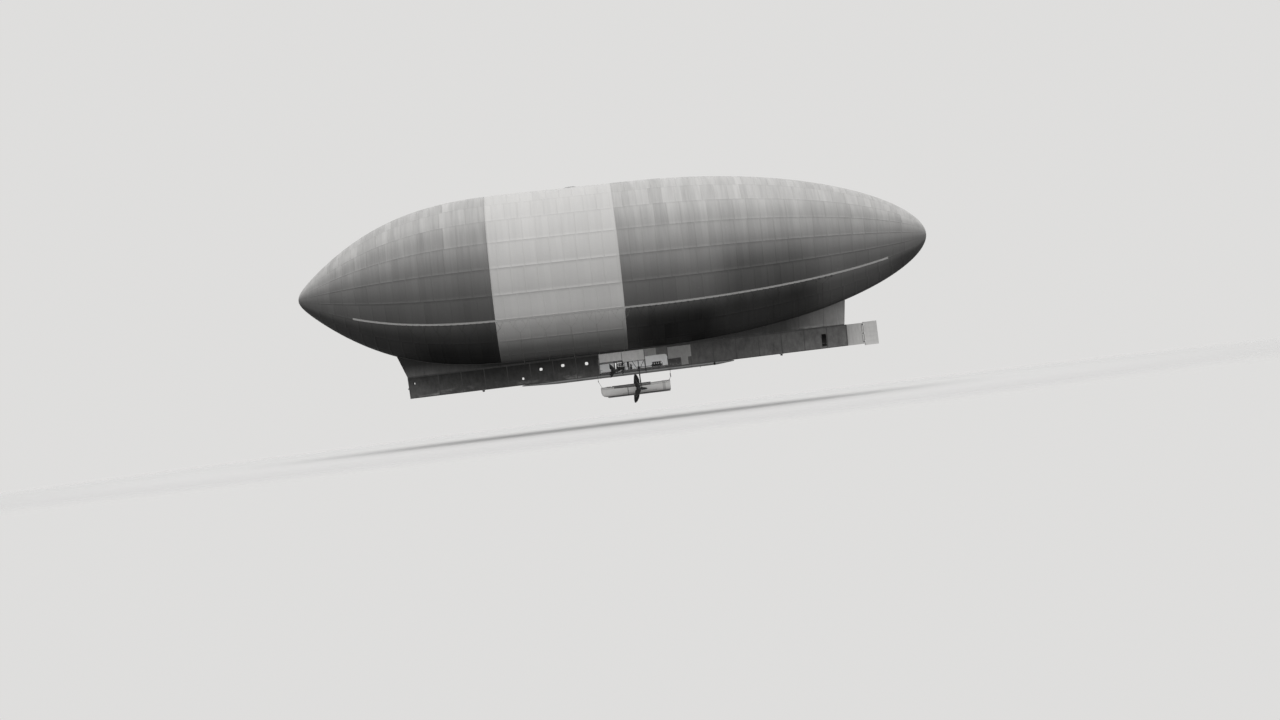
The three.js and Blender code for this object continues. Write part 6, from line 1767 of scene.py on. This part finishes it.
# planks' seams, covering boards and king plank
for side in (1, -1):
    tq = np.linspace(0.006, 0.996, 90)
    w0, w1 = boat_line(tq, 1) - 0.004, np.maximum(boat_line(tq, 1) - 0.050, 0.003)
    p = np.stack([np.stack([boat_x(tq), side * w0, deck_z(tq, w0) + 0.003], -1), np.stack([boat_x(tq), side * w1, deck_z(tq, w1) + 0.003], -1)], 1)
    s.sheet(p if side < 0 else p[::-1], 0.004, mat=1)
for xa, xb in ((0.86, COCK[0] + 0.02), (COCK[1] - 0.02, -2.81)):
    q = np.linspace(xa, xb, 14)
    p = np.stack([np.stack([q, q * 0 + 0.028, deck_z((BOAT_FORE - q) / BOAT_LONG, 0.028) + 0.003], -1), np.stack([q, q * 0 - 0.028, deck_z((BOAT_FORE - q) / BOAT_LONG, 0.028) + 0.003], -1)], 1)
    s.sheet(p[::-1], 0.004, mat=1)
# coaming round the cockpit
outline = rounded(hole[0], 0.0, hole[2] + 0.014, hole[3] + 0.014, 0.055, 40)
for z0, z1, wide, mat in ((-6.640, -6.508, 0.006, 1), (-6.512, -6.500, 0.0095, 1)):
    rows = []
    for off, z in ((wide, z0), (wide, z1), (-wide, z1), (-wide, z0)):
        rows.append([(x + (off if x > hole[0] else -off) * (abs(x - hole[0]) > hole[2] / 2 - 0.06), y + (off if y > 0 else -off) * (abs(y) > 0.20), z) for x, y in outline])
    s.rings(rows, mat=mat, loop=True)
# rowlocks and cleats, hatch on the fore deck
for side in (1, -1):
    for x in (0.05, -0.68, -1.45):
        zz = float(deck_z((BOAT_FORE - x) / BOAT_LONG, 0.36)) + 0.002
        yb = float(boat_line((BOAT_FORE - x) / BOAT_LONG, 1)) - 0.026
        s.box((x - 0.035, side * yb - 0.012, zz - 0.004), (x + 0.035, side * yb + 0.012, zz + 0.008), 0.003, mat=2)
        for dx in (-0.018, 0.018):
            s.rod((x + dx, side * yb, zz + 0.004), (x + dx * 1.25, side * yb, zz + 0.036), 0.0045, 8, mat=2)
for x in (0.62, -2.45):
    zz = float(deck_z((BOAT_FORE - x) / BOAT_LONG, 0.09)) + 0.001
    for side in (1, -1):
        s.rod((x, side * 0.09, zz), (x, side * 0.09, zz + 0.018), 0.006, 8, mat=2)
        s.rod((x - 0.04, side * 0.09, zz + 0.021), (x + 0.04, side * 0.09, zz + 0.021), 0.0055, 8, mat=2, chamfer=0.003)
s.box((0.42, -0.13, -6.552), (0.66, 0.13, -6.512), 0.006, mat=1)
for y in (-0.09, -0.03, 0.03, 0.09):
    s.box((0.425, y - 0.028, -6.5125), (0.655, y + 0.028, -6.5085), 0.0015, mat=0)
# lifting plates of the falls
for x in (0.915, -2.812):
    zz = float(deck_z((BOAT_FORE - x) / BOAT_LONG, 0.0))
    s.box((x - 0.030, -0.012, zz - 0.02), (x + 0.030, 0.012, zz + 0.010), 0.003, mat=2)
    ring_lathe(s, [(0.010, -0.003), (0.016, -0.003), (0.016, 0.003), (0.010, 0.003)], (x, 0, -6.519), (0, 1, 0), 16, mat=2)
place(s, "lifeboat_deck_planks", [timber("deck planks", 0.34, "X", 0.6, 0.2), BOAT_DARK, STEEL_BARE], "airship", ["lifeboat_deck"], sharp=40)

# thwarts, bottom boards, oars
s = Shape()
for k in range(3):
    y0 = -0.060 + k * 0.040
    s.box((-1.720, y0 + 0.001, -6.836), (0.300, y0 + 0.039, -6.821), 0.002)
for x in (0.120, -0.620, -1.400):
    t = (BOAT_FORE - x) / BOAT_LONG
    hi, lo, hf = float(boat_line(t, 3)), float(boat_line(t, 2)), float(boat_line(t, 1)) - 0.026
    zt = -6.801
    a = math.acos(max(0.0, 1 - (zt - 0.01 - lo - 0.026) / (hi - lo - 0.026)) ** 0.8)
    yb = hf * math.sin(a) ** 0.72 - 0.004
    for dx in (-0.035, 0.035):
        s.box((x + dx - 0.033, -yb, zt - 0.020), (x + dx + 0.033, yb, zt), 0.003)
    s.rod((x, 0, -6.83), (x, 0, -6.82), 0.012, 10)
for side in (1, -1):
    y = side * 0.17
    s.rod((-1.62, y, -6.786), (0.10, y * 0.9, -6.786), 0.012, 10)
    s.beam((0.08, y * 0.9, -6.786), (0.285, y * 0.88, -6.786), 0.060, 0.008, 0.003)
place(s, "lifeboat_thwarts_boards", [timber("thwarts", 0.22, "Y", 0.6, 0.3)], "airship", ["lifeboat_thwarts"])


# ---------------------------------------------------------------- falls that carry the boat
def laid(s, pts, r, mat=0, lay=0.055):
    """A laid rope: three strands turned round each other."""
    pts = np.array(pts, float)
    seg = np.linalg.norm(np.diff(pts, axis=0), axis=1)
    long = float(seg.sum())
    n = max(4, int(long / 0.012))
    u = np.linspace(0, long, n)
    acc = np.concatenate([[0], np.cumsum(seg)])
    c = np.stack([np.interp(u, acc, pts[:, k]) for k in range(3)], -1)
    d = np.gradient(c, axis=0)
    d /= np.linalg.norm(d, axis=1, keepdims=True)
    ref = np.array([1.0, 0, 0]) if abs(d[0][0]) < 0.8 else np.array([0, 1.0, 0])
    e1 = np.cross(d, ref)
    e1 /= np.linalg.norm(e1, axis=1, keepdims=True)
    e2 = np.cross(d, e1)
    for k in range(3):
        w = u / lay * 2 * math.pi + k * 2 * math.pi / 3
        s.tube(c + 0.5 * r * (np.cos(w)[:, None] * e1 + np.sin(w)[:, None] * e2), 0.56 * r, 5, mat=mat)


for word, x_car, x_block, low, high, x_boat in (("forward", 1.085, 1.066, -6.200, -6.130, 0.915), ("aft", -2.931, -2.915, -6.385, -6.166, -2.812)):
    s = Shape()
    for sy in (-1, 1):
        a = np.array([x_car, sy * 0.127, -5.857])
        b = np.array([x_car, sy * 0.127, -5.964])
        c = np.array([x_block, 0.0, high - 0.012])
        laid(s, [a, b, c], 0.0078)
        s.lathe([(0.008, -0.02), (0.0115, -0.016), (0.0115, 0.016), (0.008, 0.02)], a - (0, 0, 0.026), (0, 0, 1), 10, mat=0)
        s.box((x_car - 0.010, sy * 0.127 - 0.008, -5.874), (x_car + 0.010, sy * 0.127 + 0.008, -5.858), 0.002, mat=1)
    # block with two cheeks, a sheave and straps
    zc = (low + high) / 2
    hz = (high - low) / 2
    for sy in (-1, 1):
        s.box((x_block - 0.025, sy * 0.014 - 0.007, low), (x_block + 0.025, sy * 0.014 + 0.007, high), 0.009, mat=2)
        s.box((x_block - 0.009, sy * 0.0215 - 0.0022, low - 0.004), (x_block + 0.009, sy * 0.0215 + 0.0022, high + 0.004), 0.001, mat=1)
        s.bolt((x_block, sy * 0.0215, zc), (0, sy, 0), 0.009, 0.003, 1)
    for z in ([zc] if hz < 0.06 else [zc + hz * 0.55, zc - hz * 0.55]):
        s.lathe([(0.006, -0.006), (0.021, -0.006), (0.0185, 0), (0.021, 0.006), (0.006, 0.006)], (x_block, 0, z), (0, 1, 0), 24, mat=1)
    p, q = np.array([x_block, 0.0, low + 0.012]), np.array([x_boat, 0.0, -6.512])
    laid(s, [p, q], 0.0078)
    d = (q - p) / np.linalg.norm(q - p)
    s.lathe([(0.008, 0), (0.0115, 0.006), (0.0115, 0.040), (0.008, 0.05)], q - d * 0.09, d, 10, mat=0)
    s.lathe([(0.004, -0.030), (0.010, -0.026), (0.010, -0.012), (0.005, -0.006), (0.005, 0.0)], q, d, 10, mat=1)
    place(s, "boat_fall_%s_tackle" % word, [ROPE, STEEL_BARE, BLOCK], "airship", ["boat_fall_" + word])


# ---------------------------------------------------------------- fin and rudder
POST_X = -13.795
s = Shape()
x0, x1 = -12.832, -13.771
zs = np.linspace(-5.858, -4.691, 40)[None, :]
ribs = np.array([-13.00, -13.19, -13.38, -13.57, -13.745])
xs = np.linspace(x0, x1, 60)[:, None]
for sy in (1, -1):
    near = np.min(np.abs(xs[..., None] - ribs[None, None, :]), -1)
    near_z = np.min(np.abs(zs[..., None] - np.array([-4.70, -5.27, -5.85])[None, None, :]), -1)
    d = np.minimum(near / 0.095, near_z / 0.25)
    y = 0.0135 - 0.0045 * smooth(np.clip(d, 0, 1)) + 0 * xs + 0 * zs
    g = np.stack([xs + 0 * zs, sy * y, zs + 0 * xs], -1)
    s.sheet(g[::-1] if sy > 0 else g, 0.003)
rim = [(x0, 0, -4.704), (x1 + 0.013, 0, -4.704), (x1 + 0.013, 0, -5.845), (x0, 0, -5.845)]
for a, b in zip(rim, rim[1:] + rim[:1]):
    s.rod(a, b, 0.0125, 12, mat=1)
for x in ribs[:-1]:
    for sy in (1, -1):
        s.box((x - 0.012, sy * 0.0125 - 0.0012, -5.855), (x + 0.012, sy * 0.0125 + 0.0012, -4.694), 0.0005, mat=2)
s.box((-13.762, -0.0135, -5.855), (-13.690, 0.0135, -4.695), 0.002, mat=3)
for z in (-4.800, -5.270, -5.740):
    ring_lathe(s, [(0.0172, -0.019), (0.024, -0.019), (0.0255, -0.016), (0.0255, 0.016), (0.024, 0.019), (0.0172, 0.019)], (POST_X, 0, z), (0, 0, 1), 28, mat=1)
    s.box((-13.7715, -0.020, z - 0.018), (-13.700, 0.020, z + 0.018), 0.003, mat=1)
    for sy in (1, -1):
        for x in (-13.735, -13.755):
            s.bolt((x, sy * 0.0195, z), (0, sy, 0), 0.005, 0.004, 4)
place(s, "tail_fin_cloth", [FIN, STEEL, FIN_TAPE, FIN_DARK], "airship", ["tail_fin"], sharp=45)

s = Shape()
s.rod((POST_X, 0, -5.940), (POST_X, 0, -4.658), 0.0138, 18, mat=1, chamfer=0.003)
xa, xb = -13.8045, -14.557
RUD_TOP_Z, RUD_LOW_Z = -4.6575, -5.9405
n, m_ = 52, 60
xs = np.linspace(xa, xb, n)[:, None]
w = np.linspace(0, 1, m_)[None, :]
zg = RUD_LOW_Z + (RUD_TOP_Z - RUD_LOW_Z) * w + 0 * xs
rib_z = np.linspace(RUD_LOW_Z + 0.012, RUD_TOP_Z - 0.012, 6)
notch = np.zeros((n - 1, m_ - 1), bool)
xm = (xs[:-1] + xs[1:]) / 2
zm = (zg[:-1, :-1] + zg[1:, 1:]) / 2
for z in (-4.800, -5.270, -5.740):
    notch |= (xm > -13.845) & (np.abs(zm - z) < 0.030)
for sy in (1, -1):
    near = np.min(np.abs(zg[..., None] - rib_z[None, None, :]), -1)
    edge = np.minimum(np.abs(xs - xa), np.abs(xs - xb))
    d = np.minimum(near / 0.10, edge / 0.08)
    y = 0.0105 - 0.0040 * smooth(np.clip(d, 0, 1))
    g = np.stack([xs + 0 * zg, sy * y, zg], -1)
    k = ~notch
    if sy > 0:
        g, k = g[::-1], k[::-1]
    s.sheet(g, 0.003, k)
for z in (RUD_TOP_Z - 0.0105, RUD_LOW_Z + 0.0105):
    s.rod((xa + 0.003, 0, z), (xb + 0.0105, 0, z), 0.0102, 12, mat=0)
s.rod((xb + 0.0105, 0, RUD_LOW_Z + 0.0105), (xb + 0.0105, 0, RUD_TOP_Z - 0.0105), 0.0102, 12, mat=0)
for z in rib_z[1:-1]:
    for sy in (1, -1):
        s.box((xb + 0.012, sy * 0.0095 - 0.0012, z - 0.010), (-13.850, sy * 0.0095 + 0.0012, z + 0.010), 0.0005, mat=2)
for z in (-4.860, -5.210, -5.330, -5.680):
    s.lathe([(0.0138, -0.012), (0.0158, -0.010), (0.0158, 0.010), (0.0138, 0.012)], (POST_X, 0, z), (0, 0, 1), 18, mat=3)
    s.box((-13.850, -0.0108, z - 0.008), (-13.800, 0.0108, z + 0.008), 0.002, mat=1)
place(s, "rudder_cloth", [RUDDER, STEEL, RUDDER_TAPE, STEEL_BARE], "rudder", ["rudder"], sharp=45)


# ---------------------------------------------------------------- valve on the ridge, brackets, bow fitting
s = Shape()
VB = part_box("gas_valve")
vx, vy = (VB[0][0] + VB[1][0]) / 2, 0.0
v0, v1 = VB[0][2], VB[1][2]
H = v1 - v0
VR = (VB[1][1] - VB[0][1]) / 2
tilt_n = np.array([-math.sin(TILT), 0, math.cos(TILT)])
s.lathe([(VR * 0.97, H * 0.10), (VR * 0.97, H * 0.26), (VR * 0.90, H * 0.40), (VR * 0.86, H * 0.62)] + [(VR * 0.82 * math.cos(q), H * 0.64 + H * 0.26 * math.sin(q)) for q in np.radians(np.linspace(5, 88, 10))], (vx, vy, v0), (0, 0, 1), 56)
ring_lathe(s, [(VR * 0.905, H * 0.24), (VR * 0.995, H * 0.24), (VR * 0.995, H * 0.36), (VR * 0.905, H * 0.40)], (vx, vy, v0), (0, 0, 1), 56, mat=1)
for k in range(24):
    q = k * math.pi / 12
    s.bolt((vx + VR * 0.95 * math.cos(q), vy + VR * 0.95 * math.sin(q), v0 + H * 0.36), (0, 0, 1), 0.008, 0.006, 1)
for k in range(6):
    q = k * math.pi / 3 + 0.2
    s.beam((vx + VR * 0.80 * math.cos(q), vy + VR * 0.80 * math.sin(q), v0 + H * 0.80), (vx, vy, v0 + H * 0.93), 0.020, 0.006, 0.001, mat=1)
s.lathe([(0.05, 0), (0.05, 0.004), (0.02, 0.006), (0.012, 0.007)], (vx, vy, v0 + H * 0.88), (0, 0, 1), 20, mat=1)
place(s, "gas_valve_works", [metal("valve plate", 0.42, 0.6, 0.0, 0.08), metal("valve frame", 0.30, 0.6, 0.0, 0.08)], "airship", ["gas_valve"])

for node, x in (("drag_line_bracket", 7.386), ("handling_bracket", -9.130)):
    s = Shape()
    s.box((x - 0.090, -0.150, -5.878), (x + 0.090, 0.150, -5.8625), 0.003)
    s.box((x - 0.059, -0.011, -5.940), (x + 0.059, 0.011, -5.872), 0.003)
    s.box((x - 0.060, -0.050, -5.954), (x + 0.060, 0.050, -5.939), 0.004)
    for dx in (-0.070, -0.025, 0.025, 0.070):
        for y in (-0.130, -0.05, 0.05, 0.130):
            s.bolt((x + dx, y, -5.878), (0, 0, -1), 0.006, 0.005, 1)
    for dx in (-0.04, 0.04):
        for sy in (-1, 1):
            s.beam((x + dx, sy * 0.012, -5.935), (x + dx, sy * 0.05, -5.880), 0.006, 0.008, 0.001)
            s.bolt((x + dx, sy * 0.030, -5.954), (0, 0, -1), 0.006, 0.005, 1)
    place(s, node + "_plates", [STEEL, STEEL_BARE], "airship", [node])

s = Shape()
s.box((11.4135, -0.110, -5.420), (11.4265, 0.110, -5.200), 0.003)
for y in (-0.09, 0.09):
    for z in (-5.400, -5.310, -5.220):
        s.bolt((11.4265, y, z), (1, 0, 0), 0.007, 0.0055, 1)
ring_lathe(s, [(0.022, 0.0), (0.0395, 0.0), (0.0395, 0.052), (0.036, 0.0565), (0.026, 0.0565), (0.022, 0.052)], (11.4255, 0, -5.310), (1, 0, 0), 36)
ring_lathe(s, [(0.040, 0.001), (0.056, 0.001), (0.054, 0.008), (0.040, 0.010)], (11.4255, 0, -5.310), (1, 0, 0), 36, mat=1)
for k in range(4):
    q = k * math.pi / 2 + math.pi / 4
    s.beam((11.428, 0.052 * math.cos(q), -5.310 + 0.052 * math.sin(q)), (11.470, 0.040 * math.cos(q), -5.310 + 0.040 * math.sin(q)), 0.006, 0.006, 0.001)
place(s, "bow_fitting_plate", [STEEL, STEEL_BARE], "airship", ["bow_fitting"])


# ---------------------------------------------------------------- finishes of the CAD nodes that stay
SLOTS = {row["node"]: row["material_slot"] for row in frame["record"]["subparts"]}
for name, o in NODES.items():
    if o.hide_render:
        continue
    mat = BY_SLOT.get(SLOTS.get(name), STEEL)
    o.data.materials.clear()
    o.data.materials.append(mat)

# ---------------------------------------------------------------- floor, light and camera
FLOOR_Z = -8.60


def make_floor():
    s = Shape()
    rings = []
    for r in (0.01, 10, 20, 30, 45, 60, 80, 100, 130):
        a = np.linspace(0, 2 * math.pi, 97)[:-1]
        rings.append(np.stack([r * np.cos(a), r * np.sin(a), np.full(96, FLOOR_Z)], -1))
    rings = np.array(rings)
    low = rings[::-1].copy()
    low[..., 2] -= 0.02
    s.rings(np.concatenate([rings, low]))
    m = Mat("pale floor", rough=0.9, spec=0.1)
    x, y, z = m.axes()
    d = m.math("SQRT", m.math("ADD", m.math("POWER", m.math("MULTIPLY", x, 0.8), 2.0), m.math("POWER", y, 2.0)))
    m.b.inputs["Base Color"].default_value = (0.537, 0.534, 0.530, 1)
    clear = m.node("ShaderNodeBsdfTransparent").outputs[0]
    mix = m.node("ShaderNodeMixShader", {0: m.remap(d, 14.0, 46.0, 0.0, 1.0), 1: m.b.outputs[0], 2: clear})
    m.t.links.new(mix.outputs[0], m.out.inputs[0])
    o = s.obj("studio_floor", m.m)
    o.visible_diffuse = False
    o.visible_glossy = False
    return o


make_floor()

world = bpy.data.worlds.new("studio")
bpy.context.scene.world = world
world.use_nodes = True
wt = world.node_tree
wt.nodes.clear()
out = wt.nodes.new("ShaderNodeOutputWorld")
path = wt.nodes.new("ShaderNodeLightPath")
geo = wt.nodes.new("ShaderNodeTexCoord")
sep = wt.nodes.new("ShaderNodeSeparateXYZ")
wt.links.new(geo.outputs["Generated"], sep.inputs[0])
rng = wt.nodes.new("ShaderNodeMapRange")
wt.links.new(sep.outputs[2], rng.inputs[0])
rng.inputs[1].default_value = -0.55
rng.inputs[2].default_value = 0.15
rng.inputs[3].default_value = 0.08
rng.inputs[4].default_value = 0.95
rng.interpolation_type = "SMOOTHSTEP"
light = wt.nodes.new("ShaderNodeBackground")
wt.links.new(rng.outputs[0], light.inputs[1])
light.inputs[0].default_value = (1, 1, 1, 1)
seen = wt.nodes.new("ShaderNodeBackground")
seen.inputs[0].default_value = (0.735, 0.73, 0.722, 1)
seen.inputs[1].default_value = 1.0
mixer = wt.nodes.new("ShaderNodeMixShader")
wt.links.new(path.outputs["Is Camera Ray"], mixer.inputs[0])
wt.links.new(light.outputs[0], mixer.inputs[1])
wt.links.new(seen.outputs[0], mixer.inputs[2])
wt.links.new(mixer.outputs[0], out.inputs[0])


def sun(name, towards, strength, angle):
    lamp = bpy.data.lights.new(name, "SUN")
    lamp.energy = strength
    lamp.angle = math.radians(angle)
    o = bpy.data.objects.new(name, lamp)
    o.rotation_euler = Vector(towards).to_track_quat("-Z", "Y").to_euler()
    bpy.context.scene.collection.objects.link(o)
    return o


sun("softbox_above", (0.10, -0.45, -1.0), 1.6, 70)

cam = bpy.data.cameras.new("camera")
cam.lens = 70.7298
cam.sensor_width = 36.0
cam.sensor_fit = "HORIZONTAL"
cam.clip_start = 0.5
cam.clip_end = 2000
eye = bpy.data.objects.new("camera", cam)
bpy.context.scene.collection.objects.link(eye)
yaw, pitch, roll = math.radians(1.5084796), math.radians(0.41164401), math.radians(-6.95027588)
f = Vector((-math.sin(yaw) * math.cos(pitch), -math.cos(yaw) * math.cos(pitch), math.sin(pitch)))
r0 = f.cross(Vector((0, 0, 1))).normalized()
u0 = r0.cross(f)
right = r0 * math.cos(roll) + u0 * math.sin(roll)
up = -r0 * math.sin(roll) + u0 * math.cos(roll)
view = Matrix((right, up, -f)).transposed().to_4x4()
view.translation = Vector((2.298, 138.4, -6.249))
eye.matrix_world = view
bpy.context.scene.camera = eye
bpy.context.scene.view_settings.view_transform = "Standard"
bpy.context.scene.view_settings.look = "None"
